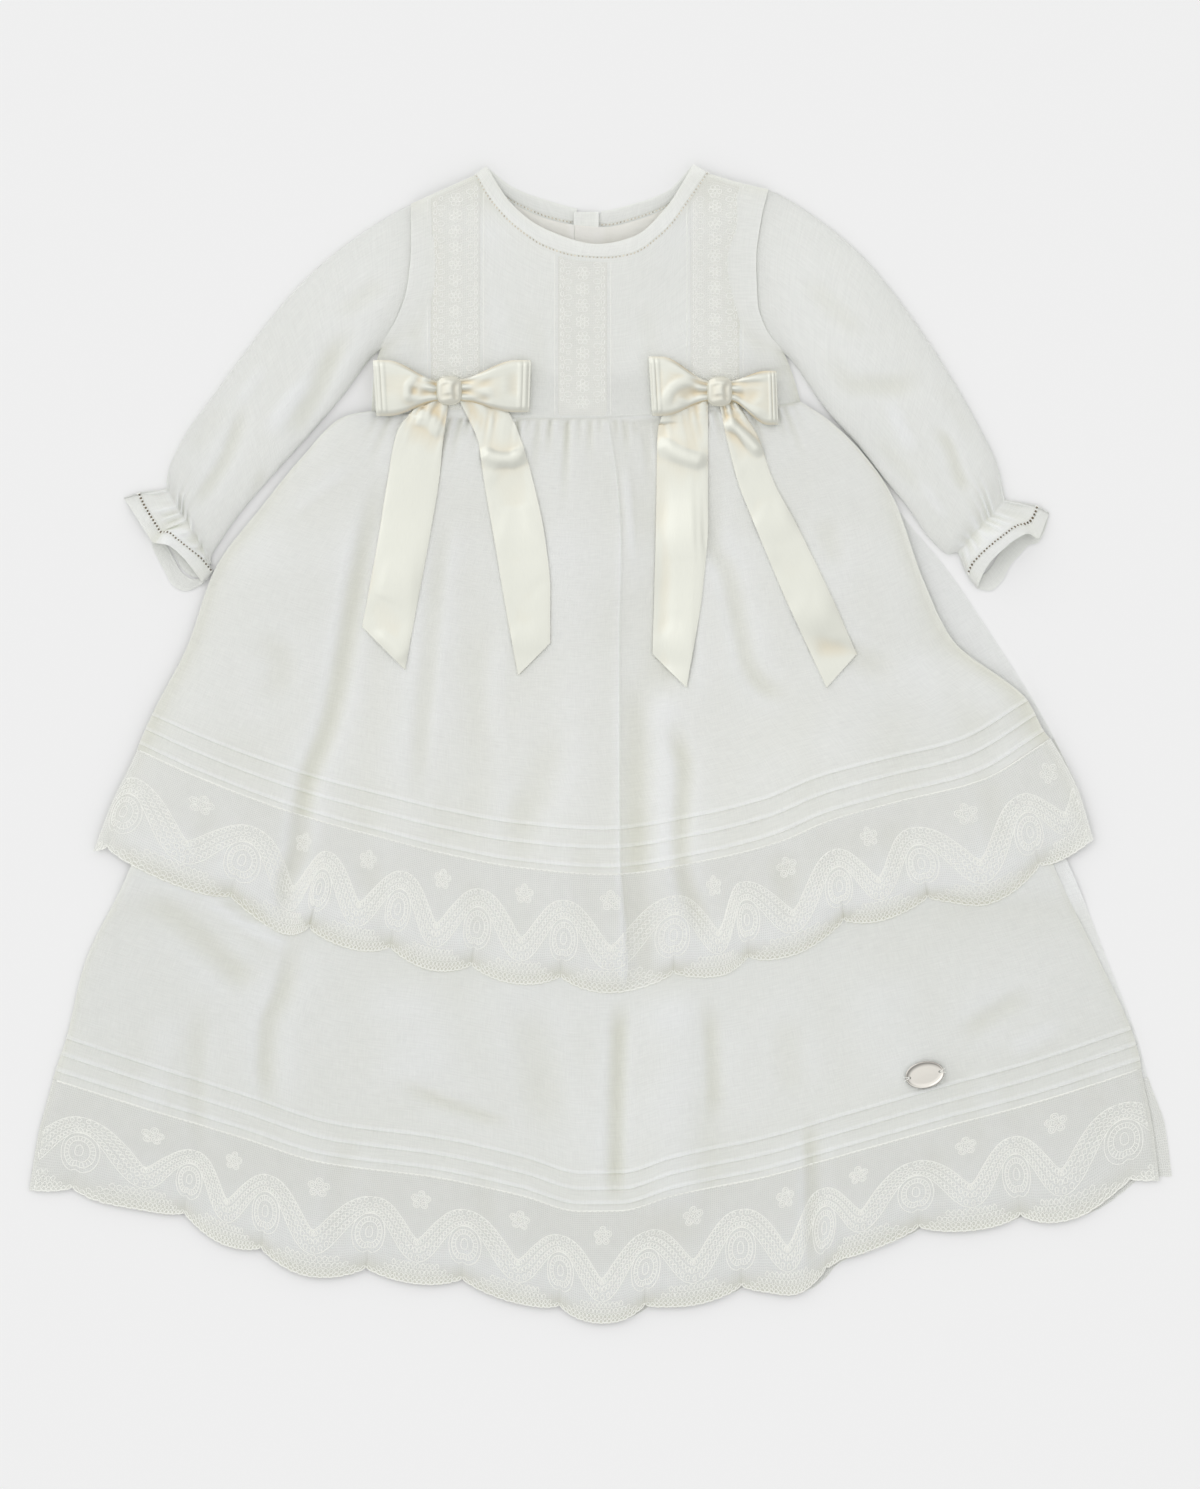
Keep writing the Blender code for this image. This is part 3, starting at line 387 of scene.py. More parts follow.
def emboss(tree, height, depth, strength=1.0):
    """Gives a material its fine relief, at most depth metres high."""
    bump = tree.nodes.new("ShaderNodeBump")
    bump.inputs["Strength"].default_value = strength
    bump.inputs["Distance"].default_value = depth
    tree.links.new(height, bump.inputs["Height"])
    tree.links.new(bump.outputs["Normal"], tree.nodes["Principled BSDF"].inputs["Normal"])


# Plain weave: fine warp and weft threads, and the thicker slubs that run along them.
CLOTH_SOCKET = ("Cloth", "NodeSocketVector", None)
pitch_socket = ("Pitch", "NodeSocketFloat", 0.0005)
plain_weave, given, made = new_group("plain_weave", [CLOTH_SOCKET, pitch_socket], ["Threads", "Slubs"])
turns = scaled(plain_weave, given["Cloth"], sums(plain_weave, "DIVIDE", math.pi, given["Pitch"]))
axes = join(plain_weave, "SeparateXYZ", turns).node.outputs
warp, weft = (sums(plain_weave, "ABSOLUTE", sums(plain_weave, "SINE", axis)) for axis in axes[:2])
plain_weave.links.new(sums(plain_weave, "MULTIPLY", warp, weft), made["Threads"])
slubs = []
for stretch in ((1500.0, 110.0, 1.0), (90.0, 1300.0, 1.0)):
    place = join(plain_weave, "VectorMath", given["Cloth"], stretch, operation="MULTIPLY")
    slubs.append(noise(plain_weave, place, 1.0))
plain_weave.links.new(sums(plain_weave, "ADD", *slubs), made["Slubs"])
# Thin cloth lets much of the light go on through it.
GLOW = {"Subsurface_Weight": 0.35, "Subsurface_Radius": (1, 1, 1), "Subsurface_Scale": 0.0016}
# Painted shade: the cloth's colour is painted dimmer and warmer in its hollows, this much a millimetre of hollow.
FOLD_PAINTED_SHADE = (-0.047, -0.050, -0.077)
HOLLOW_LEAST, HOLLOW_MOST = -1.3, 2.8


def painted_fold_shade(tree, colour):
    """The cloth's colour with painted shade: dimmed and warmed where its folds are hollow."""
    hollow = join(tree, "Attribute", attribute_name="hollow").node.outputs["Fac"]
    hollow = join(tree, "Clamp", hollow, HOLLOW_LEAST, HOLLOW_MOST)
    slope = tuple(dim * part for dim, part in zip(FOLD_PAINTED_SHADE, colour))
    return join(tree, "VectorMath", hollow, slope, colour, operation="MULTIPLY_ADD")


def cloth_material(
    name, colour, slub_depth=0.12, tone=0.03, pitch=0.00052, roughness=0.9, sheen=0.12, relief=0.00012, sides=0.0
):
    """Woven cloth: its colour varies with the slubs, and its bump has the threads and the slubs.

    sides is how much dimmer the painted shade makes a skirt towards its sides.
    """
    material, tree = new_material(
        name, Roughness=roughness, Specular_IOR_Level=0.25, Sheen_Weight=sheen, Sheen_Roughness=0.5, **GLOW
    )
    cloth = join(tree, "UVMap", uv_map="UVMap")
    weave = join(tree, "Group", cloth, pitch, node_tree=plain_weave).node.outputs
    place = join(tree, "TexCoord").node.outputs["Object"]
    slub = sums(tree, "MULTIPLY_ADD", weave["Slubs"], slub_depth, 1.0 - slub_depth)
    threads = sums(tree, "MULTIPLY_ADD", weave["Threads"], slub_depth * 0.5, 1.0 - slub_depth * 0.4)
    tint = sums(tree, "MULTIPLY_ADD", noise(tree, place, 14.0), tone, 1.0 - tone / 2)
    shade = sums(tree, "MULTIPLY", sums(tree, "MULTIPLY", slub, threads), tint)
    # Painted shade: the colour is dimmed in the cloth's hollows and towards a skirt's sides.
    aside = sums(tree, "ABSOLUTE", join(tree, "SeparateXYZ", place))
    painted_side_shade = join(tree, "MapRange", aside, 0.09, 0.25, 1.0, 1.0 - sides)
    paint(tree, painted_fold_shade(tree, colour), sums(tree, "MULTIPLY", shade, painted_side_shade))
    emboss(tree, sums(tree, "ADD", sums(tree, "MULTIPLY", weave["Threads"], 0.6), weave["Slubs"]), relief)
    return material


voile = cloth_material("voile", (0.915, 0.930, 0.882))
over_voile = cloth_material("voile_overskirt", (0.923, 0.936, 0.885), sides=0.04)
under_voile = cloth_material("voile_underskirt", (0.890, 0.906, 0.862), sides=0.03)
back_voile = cloth_material("voile_back", (0.925, 0.940, 0.915))


def skirt_cut(tier):
    """The place of points of a skirt panel on the flat cloth: the warp runs down it."""
    width = tier.rows[-1].right_x - tier.rows[-1].left_x
    return lambda u, station: (u * width, -station)


def steps(start, end, size):
    """Even steps of about one size, both ends included."""
    return np.linspace(start, end, max(2, round(abs(end - start) / size) + 1))


BACK_Z = 0.35
LAP_END = OVER.lace_end + SCALLOP_DROP + 6.0


def over_back_z(station):
    return np.full_like(station, BACK_Z)


def under_back_z(station):
    return BACK_Z + (CLOTH + LAY) * (1 - ease(station, LAP_END, LAP_END + 20))


for tier, first, height in ((OVER, 0.4, over_back_z), (UNDER, 1.4, under_back_z)):
    panel(
        f"{tier.name}_back", "cloth", steps(0, 1, 0.01), steps(first, tier.lace_top, 5),
        lambda u, v: (*on_row(tier, u, v, back=True), height(v)), skirt_cut(tier), "voile", back_voile,
    )

# ---------------------------------------------------------------- threads, and the laces of the backs
# The laces are cotton tulle, embroidered with white thread in waves, rings and small flowers, over
# dense loops that fill the scallops. Threads are half rounds that lie on the net. Each lace is sewn
# to its skirt's lower edge.

THREAD = 0.27  # half the embroidery thread's width
THREAD_RISE = 0.45  # how far it stands up, as a share of that
LACE_REACH = 58.0  # the pattern's depth, in its own sizes

cells_socket = ("Cells", "NodeSocketFloat", 900.0)
tulle_net, given, made = new_group("tulle_net", [CLOTH_SOCKET, cells_socket], ["Thread", "Cloud"])
cells = join(tulle_net, "TexVoronoi", given["Cloth"], None, given["Cells"], feature="DISTANCE_TO_EDGE").node
cells.inputs["Randomness"].default_value = 0.25
edge = join(tulle_net, "MapRange", cells.outputs["Distance"], 0.10, 0.30, 1.0, 0.0)
tulle_net.links.new(edge, made["Thread"])
tulle_net.links.new(noise(tulle_net, given["Cloth"], 160.0), made["Cloud"])


def tulle_material(name, colour, cover):
    """Fine net. cover is how much of what lies below its holes hide, which a net at this size blurs."""
    material, tree = new_material(name, Roughness=0.9, Specular_IOR_Level=0.2, **GLOW)
    cloth = join(tree, "UVMap", uv_map="UVMap")
    net = join(tree, "Group", cloth, 900.0, node_tree=tulle_net).node.outputs
    shade = sums(tree, "MULTIPLY_ADD", net["Thread"], 0.04, 0.96)
    shade = sums(tree, "MULTIPLY", shade, sums(tree, "MULTIPLY_ADD", net["Cloud"], 0.06, 0.97))
    # Painted shade in the net's hollows, as on the cloth.
    paint(tree, painted_fold_shade(tree, colour), shade)
    alpha = tree.nodes["Principled BSDF"].inputs["Alpha"]
    tree.links.new(sums(tree, "MULTIPLY_ADD", net["Thread"], 1.0 - cover, cover), alpha)
    emboss(tree, net["Thread"], 0.00008)
    return material


tulle = tulle_material("tulle", (0.858, 0.868, 0.820), 0.94)
under_tulle = tulle_material("tulle_underskirt", (0.815, 0.826, 0.780), 0.94)
narrow_tulle = tulle_material("tulle_narrow", (0.897, 0.905, 0.846), 0.98)


def mottled(tree, scale, low, high):
    """A number that varies over a piece between low and high."""
    place = join(tree, "TexCoord").node.outputs["Object"]
    return join(tree, "MapRange", noise(tree, place, scale), 0.3, 0.7, low, high)


embroidery, tree = new_material("embroidery_thread", Roughness=0.6, Sheen_Weight=0.15)
paint(tree, (0.965, 0.970, 0.922), mottled(tree, 1400.0, 0.93, 1.0))


def mesh_piece(name, spots, faces):
    """A new piece from points, in millimetres, and the faces between them."""
    mesh = bpy.data.meshes.new(name)
    mesh.from_pydata((spots * MM).tolist(), [], faces)
    piece = bpy.data.objects.new(name, mesh)
    bpy.context.scene.collection.objects.link(piece)
    face_outwards(piece)
    return piece


def threads(name, lines, thick=THREAD):
    """Makes one mesh of thin threads. Each line is an array of points, in millimetres, that the
    thread's middle follows; its section is a half round that lies on the cloth."""
    points, faces = [], []
    start = 0
    for line in lines:
        line = np.asarray(line, float)
        ahead = np.gradient(line, axis=0)
        ahead /= np.linalg.norm(ahead, axis=1)[:, None] + 1e-9
        side = np.stack([ahead[:, 1], -ahead[:, 0], np.zeros(len(line))], axis=1)
        side /= np.linalg.norm(side, axis=1)[:, None] + 1e-9
        up = np.cross(side, ahead)
        up *= np.sign(up[:, 2:3]) + (up[:, 2:3] == 0)
        foot = line - up * thick * 0.4
        ring = np.stack([foot + side * thick, line + up * thick * THREAD_RISE, foot - side * thick], axis=1)
        points.append(ring.reshape(-1, 3))
        for i in range(len(line) - 1):
            a, b = start + 3 * i, start + 3 * i + 3
            for j in range(3):
                k = (j + 1) % 3
                faces.append((a + j, a + k, b + k, b + j))
        faces.append((start + 2, start + 1, start))
        last = start + 3 * (len(line) - 1)
        faces.append((last, last + 1, last + 2))
        start += 3 * len(line)
    return mesh_piece(name, np.concatenate(points), faces)


def oval(middle_s, middle_t, half_s, half_t, points, turns=(0.0, 1.0)):
    """A ring in lace coordinates: s counts repeats and t is millimetres down from the lace's top."""
    angle = np.linspace(turns[0], turns[1], points) * 2 * math.pi
    return np.stack([middle_s + half_s * np.sin(angle), middle_t - half_t * np.cos(angle)], axis=1)


WIDTH = 52.0  # a repeat of the pattern, in millimetres
CREST, TROUGH = 20.5, 42.5  # the middle of the wave, over a notch and over a scallop's tip


def wave(s):
    return mix(CREST, TROUGH, (0.5 - 0.5 * np.cos(2 * np.pi * s)) ** 1.15)


def lace_repeat(n):
    """The threads of one repeat, from the notch at n to the notch at n + 1, in lace coordinates."""
    lines = []
    s = np.linspace(n, n + 1, 45)
    slope = np.gradient(wave(s), s) / WIDTH
    across = np.stack([-slope / WIDTH, np.ones_like(s)], axis=1) / np.sqrt(1 + slope**2)[:, None]
    middle = np.stack([s, wave(s)], axis=1)
    for offset in (-4.9, 4.9):
        lines.append(middle + across * offset)
    run = np.concatenate([[0], np.cumsum(np.hypot(np.diff(s) * WIDTH, np.diff(wave(s))))])
    for row, offset in enumerate((-3.3, -0.1, 3.1)):
        for at in np.arange(0.7 + 1.2 * (row % 2), run[-1], 2.5):
            spot = middle + across * offset
            lines.append(oval(np.interp(at, run, spot[:, 0]), np.interp(at, run, spot[:, 1]), 0.021, 1.3, 6))
    for half_s, half_t in ((0.158, 11.2), (0.128, 9.0), (0.088, 6.2)):
        lines.append(oval(n + 0.0, 37.0, half_s, half_t, 25))
    for turn in np.linspace(0, 1, 25)[:-1]:
        inner = oval(n, 37.0, 0.095, 6.6, 2, (turn, turn + 0.01))[0]
        outer = oval(n, 37.0, 0.122, 8.6, 2, (turn, turn + 0.01))[0]
        lines.append(np.stack([inner, outer]))
    lines.append(oval(n, 37.0, 0.035, 3.4, 11))
    for k in range(5):
        turn = 2 * math.pi * k / 5
        for half in (2.0, 1.0):
            petal = oval(0, 0, half / WIDTH, half, 8)
            lines.append(petal + (n + 0.5 + 3.7 / WIDTH * math.sin(turn), 14.5 - 3.7 * math.cos(turn)))
    lines.append(oval(n + 0.5, 14.5, 0.020, 1.0, 6))
    for low, count, down in ((0.27, 10, 9.0), (0.19, 14, 6.3), (0.12, 17, 3.7), (0.03, 21, 1.3)):
        for place in np.linspace(low, 1 - low, count):
            lines.append(oval(n + place, LACE_REACH - down, 0.022, 1.25, 6))
    chain = np.linspace(n, n + 1, 45)
    lines.append(np.stack([chain, LACE_REACH - 0.6 + 0 * chain], axis=1))
    return lines


THREAD_LIFT = 0.27  # from the middle of a lace's net to the middle of its threads


def lace_threads(tier, edge, height):
    """The embroidery of one lace: every repeat's threads, laid on the lace where it lies."""
    across = np.linspace(0, 1, 4001)
    counted = column(tier.repeats, "across", "repeat", across)
    first, last = counted[0] + 0.03, counted[-1] - 0.03
    lines = [line for n in range(math.floor(first), math.ceil(last)) for line in lace_repeat(n)]
    lines = [line[(line[:, 0] > first) & (line[:, 0] < last)] for line in lines]
    lines = [line for line in lines if len(line) > 1]
    flat = np.concatenate(lines)
    station = tier.lace_top + flat[:, 1] * (tier.lace_end - tier.lace_top) / LACE_REACH
    x, y = edge(np.interp(flat[:, 0], counted, across), station)
    flat = np.stack([x, y, height(x, y, station) + THREAD_LIFT], axis=1)
    lines = np.split(flat, np.cumsum([len(line) for line in lines])[:-1])
    return threads(f"{tier.name}_lace_embroidery", lines)


for tier, columns, height in ((OVER, 240, over_back_z), (UNDER, 280, under_back_z)):
    edge = lace_edge(tier, back=True)
    panel(
        f"{tier.name}_lace_back", "tulle", steps(0, 1, 1 / columns), steps(tier.lace_top + 0.6, tier.lace_end, 8),
        lambda u, v: (*edge(u, v), height(v)), skirt_cut(tier), "lace", tulle, TULLE,
    )

# ---------------------------------------------------------------- underskirt front
# One panel of voile, cut as a flared piece and gathered in at the waist under the overskirt. Three
# pintucks are sewn across it above the lace. It lies in a few soft folds where it shows.

# A soft fold of the cloth: a ridge, or a trough where height is negative, along a line of points.
# lean moves its crest to one side, so that this side is steeper.
Fold = namedtuple("Fold", "line half_width height fade lean", defaults=(0.35, 0.0))
UNDER_FOLDS = rows_of(
    Fold,
    ([(-270, -80), (-245, -93), (-227, -107), (-204, -129), (-192, -138)], 13, -2.6, 0.3, 0.1),
    ([(-228, -84), (-203, -100), (-170, -117)], 6, 2.2, 0.3, 0.25),
    ([(-164, -98), (-174, -140), (-182, -160), (-183, -182), (-179, -210)], 12, -2.7, 0.25, -0.4),
    ([(-112, -122), (-98, -206)], 34, 2.0), ([(-119, -189), (-80, -205), (-46, -216)], 7, -1.7, 0.35, 0.3),
    ([(-42, -138), (-35, -180), (-24, -230)], 19, -2.0), ([(11, -140), (9, -200), (8, -262)], 8, -3.0, 0.2),
    ([(36, -126), (38, -200), (38, -276)], 26, 3.2, 0.2, 0.1),
    ([(62, -140), (65, -180), (66, -214)], 9, -1.8, 0.3, -0.3), ([(103, -146), (108, -204)], 14, -1.0),
    ([(196, -168), (222, -151), (246, -138)], 10, -2.0, 0.35, 0.1),
    ([(226, -174), (242, -165), (264, -154)], 9, 1.4), ([(150, -112), (172, -210)], 34, 1.4),
    ([(-238, -140), (-250, -180), (-258, -228)], 15, 1.4, 0.35, 0.2),
    ([(-222, -136), (-226, -190), (-222, -240)], 9, -1.4), ([(262, -168), (280, -205), (288, -236)], 11, -1.3),
    ([(212, -176), (228, -246)], 13, 0.9), ([(120, -205), (122, -250), (123, -312)], 10, -2.6, 0.3, -0.45),
    ([(-140, -214), (-146, -250), (-150, -300)], 12, -1.1),
    ([(-70, -226), (-66, -270), (-68, -306)], 12, -0.9, 0.35, 0.2),
    ([(182, -214), (190, -250), (194, -286)], 12, -1.0),
)
UNDER_TUCKS = (423.0, 432.0, 440.0)
TUCK_WIDTH, TUCK_HEIGHT = 2.4, 0.9


def edges(table, y):
    left = sorted((row.left_y, row.left_x) for row in table)
    right = sorted((row.right_y, row.right_x) for row in table)
    return smooth(*zip(*left), y), smooth(*zip(*right), y)


def dome(table, x, y, sharp):
    """0 at a tier's side edges, 1 over most of its width."""
    left, right = edges(table, y)
    s = np.clip((x - left) / (right - left), 0.0, 1.0)
    return 1 - np.abs(2 * s - 1) ** sharp


def beside(line, x, y):
    """How far along a smooth line each point lies, 0 to 1, and how far east of it where it runs south."""
    knots = np.linspace(0, 1, len(line))
    fine = np.linspace(0, 1, 6 * (len(line) - 1) + 1)
    line_x, line_y = (smooth(knots, column, fine) for column in zip(*line))
    dx, dy = np.diff(line_x), np.diff(line_y)
    from_x, from_y = x[:, None] - line_x[:-1], y[:, None] - line_y[:-1]
    share = np.clip((from_x * dx + from_y * dy) / (dx * dx + dy * dy), 0, 1)
    away = np.hypot(from_x - share * dx, from_y - share * dy)
    nearest = np.argmin(away, axis=1)
    row = np.arange(len(x))
    side = np.sign(from_y[row, nearest] * dx[nearest] - from_x[row, nearest] * dy[nearest])
    return (nearest + share[row, nearest]) / len(dx), side * away[row, nearest]


def folds_at(folds, x, y):
    """The height that a table of folds adds at many points."""
    total = np.zeros_like(x)
    for fold in folds:
        spots = np.array(fold.line)
        low, high = spots.min(axis=0) - fold.half_width, spots.max(axis=0) + fold.half_width
        near = (x > low[0]) & (x < high[0]) & (y > low[1]) & (y < high[1])
        if not near.any():
            continue
        along, aside = beside(fold.line, x[near], y[near])
        s = np.clip(aside / fold.half_width, -1, 1)
        s = s - fold.lean * (1 - s * s)
        ends = ease(along, 0, fold.fade) * ease(along, 1, 1 - fold.fade)
        total[near] += fold.height * (1 - s * s) ** 2 * ends
    return total


def wobble(x, y):
    """The slight unevenness of cloth laid out by hand."""
    waves = (
        (0.071, 0.023, 0.4, 0.20),
        (-0.048, 0.057, 1.9, 0.18),
        (0.026, -0.081, 3.1, 0.14),
        (0.123, 0.067, 5.0, 0.09),
        (-0.109, 0.142, 2.2, 0.07),
    )
    return sum(high * np.sin(x * a + y * b + start) for a, b, start, high in waves)


def tuck_height(tucks, station):
    """A pintuck: the cloth rises at its seam, lies double, and ends in a folded edge."""
    total = 0.0
    for tuck in tucks:
        rise = ease(station, tuck - TUCK_WIDTH, tuck - TUCK_WIDTH + 1.5)
        total = total + TUCK_HEIGHT * rise * (1 - ease(station, tuck, tuck + 0.35))
    return total


def tuck_rows(start, tucks, end, coarse):
    """Rows of points for a panel, close together at its pintucks."""
    offsets = (-TUCK_WIDTH - 0.4, -TUCK_WIDTH, -TUCK_WIDTH + 0.7, -TUCK_WIDTH + 1.5, 0.0, 0.35, 0.8)
    near = [tuck + offset for tuck in tucks for offset in offsets]
    rows = list(steps(start, tucks[0] - TUCK_WIDTH - 2, coarse))
    return np.array(rows + near + [near[-1] + 0.4 * (end - near[-1]), end])


MIDDLE = CLOTH / 2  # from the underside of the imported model's cloth to the middle of its wall


def under_z(x, y):
    edge = mix(CLOTH + LAY, 2 * CLOTH + 2 * LAY, ease(y, -96, -76))
    puff = mix(1.0, 2.6, ease(y, 170, 110)) + 3.0 * ease(y, -60, -170)
    shape = puff + folds_at(UNDER_FOLDS, x, y) + wobble(x, y) * ease(y, -40, -90)
    high = edge + dome(UNDERSKIRT, x, y, 6) * shape + MIDDLE
    left, right = edges(UNDERSKIRT, y)
    rim = np.minimum(x - left, right - x)
    return high - (CLOTH + LAY - 0.75) * (1 - ease(rim, 0, 5))


def under_front(u, station):
    x, y = on_row(UNDER, u, station)
    return x, y, under_z(x, y) + tuck_height(UNDER_TUCKS, station)


under_rows = np.concatenate([steps(1.4, 250, 14)[:-1], tuck_rows(250, UNDER_TUCKS, UNDER.lace_top, 3.6)])
panel(
    "underskirt_front", "cloth", steps(0, 1, 1 / 270), under_rows, under_front, skirt_cut(UNDER), "voile", under_voile
)

# ---------------------------------------------------------------- underskirt lace
# The wide lace that edges the underskirt is embroidered cotton tulle. It is sewn on under the last
# pintuck, hangs in the panel's folds, and bends down to the floor at its scallops.


def hem_drop(station, end):
    """How far the last of a lace has bent down."""
    return ease(station, end - 16.0, end + 1.0) ** 1.5


def under_lace_z(x, y, station):
    return mix(under_z(x, y), 1.6, 0.85 * hem_drop(station, UNDER.lace_end)) - 0.05


def front_lace(tier, columns, rows, material, height):
    """A front's lace: its net, whose top edge lies under the cloth's edge, and its embroidery."""
    top, edge = tier.lace_top, lace_edge(tier)

    def place(u, station):
        x, y = edge(u, station)
        return x, y, height(x, y, station) - 0.5 * (1 - ease(station, top - 1.4, top - 0.2))

    rows = [top - 1.6, top - 0.8, top - 0.1, top + 1.0, *rows, tier.lace_end]
    panel(
        f"{tier.name}_lace_front", "tulle", steps(0, 1, 1 / columns), rows, place, skirt_cut(tier),
        "lace", material, TULLE,
    )
    dress(lace_threads(tier, edge, height), "lace", embroidery)
    return place


lace_rows = [448, 453, 458, 463, 468, 473, 478, 483, 487, 490, 493, 495.5, 497.5, 499.2]
under_lace = front_lace(UNDER, 560, lace_rows, under_tulle, under_lace_z)

# ---------------------------------------------------------------- overskirt front
# The shorter tier, over the underskirt. It is one panel of voile gathered into the waist seam, with
# three pintucks above its lace. Down its middle it is pressed into a deep fold.

OVER_FOLDS = rows_of(
    Fold,
    ([(-119, 158), (-132, 102), (-140, 59), (-149, 14),
      (-163, -25), (-168, -60), (-175, -85), (-168, -116)], 10, -3.5, 0.15, -0.15),
    ([(-95, 150), (-104, 20), (-114, -120)], 26, 2.4, 0.3),
    ([(-86, 134), (-91, 102), (-97, 42), (-101, 0), (-104, -44)], 9, -2.0, 0.3, 0.1),
    ([(-66, 120), (-70, -90)], 16, -1.6, 0.4), ([(-20, 172), (-18, -130)], 30, 2.6, 0.15),
    ([(-33, 62), (-29, 0), (-33, -23), (-44, -44), (-50, -74)], 16, -1.9),
    ([(36, 22), (44, -1), (47, -14), (46, -34), (45, -55), (48, -77), (56, -98), (60, -118)], 9, -2.8, 0.2, -0.1),
    ([(64, 184), (64, 113), (72, 97), (80, 63), (84, 45), (94, 32), (110, 27)], 9, -2.2, 0.2, -0.2),
    ([(118, 130), (150, -60)], 30, 1.6, 0.3), ([(172, 96), (224, -20)], 18, -1.4, 0.3),
    ([(-196, 64), (-178, 44), (-192, 16)], 14, -1.6, 0.4),
    ([(-134, 162), (-160, 143), (-180, 126)], 9, 1.1, 0.35, 0.2),
    ([(123, 130), (128, 112), (133, 92)], 10, -1.3, 0.4), ([(110, 58), (138, 49), (168, 35)], 13, -1.7, 0.35, 0.1),
    ([(-214, -26), (-222, -56), (-224, -90)], 13, -1.3),
    ([(-132, -56), (-128, -90), (-126, -122)], 12, -1.1, 0.35, 0.2),
    ([(-74, -66), (-68, -100), (-66, -134)], 12, -1.1), ([(98, -52), (106, -80), (110, -116)], 13, -1.5, 0.35, -0.2),
    ([(158, -36), (168, -66), (172, -98)], 13, -1.1), ([(208, -8), (220, -36), (226, -70)], 12, -1.4),
    ([(-12, -40), (-8, -80), (-6, -128)], 12, -0.9), ([(-56, 70), (-60, 30), (-58, -10)], 9, 0.8, 0.4),
    ([(12, 160), (15, 130), (17, 96)], 4.5, 1.5, 0.35, 0.2),
)
# Where the deep fold's sharp edge runs, and the cloth's height to the right of that edge, above and
# below the ribbon's end.
PLEAT = [(4, 180), (9, 145), (11, 106), (10, 60), (10, 0), (10.4, -66), (13.7, -109), (14.5, -136)]
PLEAT_ABOVE = ((-4, 0), (0, 0.2), (1, -1.4), (7, -2.6), (20, -4.6), (25, -4.7), (36, -2.0), (45, 0))
PLEAT_BELOW = (
    (-4, 0), (0, 0.3), (1, -2.2), (5, -3.8), (9.5, -4.7), (11.5, -4.6), (18, -2.4), (24, -0.3), (28, 0.4), (36, 0)
)
# Gathers at the waist seam: where each one starts, how long it is, how deep, and how wide.
Gather = namedtuple("Gather", "x length deep half_width")
GATHERS = rows_of(
    Gather,
    (-124, 20, 1.0, 2.6), (-117, 34, 1.3, 3.0), (-110, 16, 0.9, 2.4), (-103, 42, 1.5, 3.2), (-97, 15, 0.8, 2.2),
    (-91, 26, 1.2, 2.8), (-84, 48, 1.4, 3.4), (-77.5, 30, 1.7, 2.8), (-73, 14, 1.9, 2.2), (-67, 20, 1.0, 2.6),
    (-60, 36, 1.2, 3.4), (-53.5, 13, 0.9, 2.2), (-46, 26, 1.7, 3.0), (-40, 12, 0.9, 2.0), (-34.5, 40, 1.1, 3.2),
    (-28, 22, 1.8, 2.6), (-22, 12, 0.8, 2.0), (-18.5, 56, 1.8, 3.0), (-12, 18, 0.9, 2.4), (-6, 28, 1.2, 2.8),
    (-0.5, 12, 0.9, 2.0), (8, 16, 1.1, 2.2), (13.5, 24, 1.6, 2.4), (19, 13, 1.0, 2.0), (24, 46, 1.5, 3.0),
    (30, 18, 1.0, 2.2), (37, 30, 1.2, 3.0), (44, 14, 0.8, 2.2), (51, 34, 1.4, 3.2), (57.5, 16, 0.9, 2.2),
    (64, 24, 1.2, 2.8), (70.5, 40, 1.2, 3.2), (77, 14, 0.9, 2.2), (84, 28, 1.3, 2.8), (91, 16, 0.9, 2.4),
    (97, 24, 1.4, 2.6), (102, 34, 1.6, 2.8), (107.5, 16, 1.0, 2.0),
)
GATHERS_END = 100.0
GATHER_DEPTH = 1.7
waist_left, waist_right = OVERSKIRT[0].left_x, OVERSKIRT[0].right_x
gather_shares = np.array([(gather.x - waist_left) / (waist_right - waist_left) for gather in GATHERS])
gather_seams = on_row(OVER, gather_shares, np.zeros(len(GATHERS)))[1]
OVER_TUCKS = (230.0, 240.5, 251.0)


def pleat_height(x, y):
    height = np.zeros_like(x)
    near = (x > 0) & (x < 60)
    aside = beside(PLEAT, x[near], y[near])[1]
    above, below = (smooth(*zip(*table), aside) for table in (PLEAT_ABOVE, PLEAT_BELOW))
    share = ease(y[near], 44, 12)
    height[near] = mix(above * mix(0.55, 1.0, ease(y[near], 172, 110)), below, share)
    return height


def gather_height(x, y):
    """The gathers fan out a little as they run down from the seam."""
    total = np.zeros_like(x)
    if y.max() < GATHERS_END:
        return total
    for gather, seam in zip(GATHERS, gather_seams):
        down = (seam - y) / gather.length
        aside = (x - gather.x - (gather.x + 8) * 0.0035 * (seam - y)) / (gather.half_width * (1 + 0.6 * down))
        near = (down > -0.3) & (down < 1) & (np.abs(aside) < 1)
        fade = (1 - np.clip(down, 0, 1)) ** 1.3
        total[near] -= (GATHER_DEPTH * gather.deep * (1 - aside**2) ** 2 * fade)[near]
    return total


def over_z(x, y):
    edge = mix(CLOTH + LAY, 3 * CLOTH + 3 * LAY, ease(y, 120, 170))
    puff = mix(3.0, 11.4, ease(y, 184, 96)) - 1.0 * ease(y, -20, -120)
    shape = puff + folds_at(OVER_FOLDS, x, y) + pleat_height(x, y) + wobble(x, y) + gather_height(x, y)
    high = edge + dome(OVERSKIRT, x, y, 8) * shape + MIDDLE
    left, right = edges(OVERSKIRT, y)
    rim = np.minimum(x - left, right - x)
    high = high - 0.6 * (1 - ease(rim, 0, 4))
    return np.maximum(high, under_z(x, y) + 0.7)


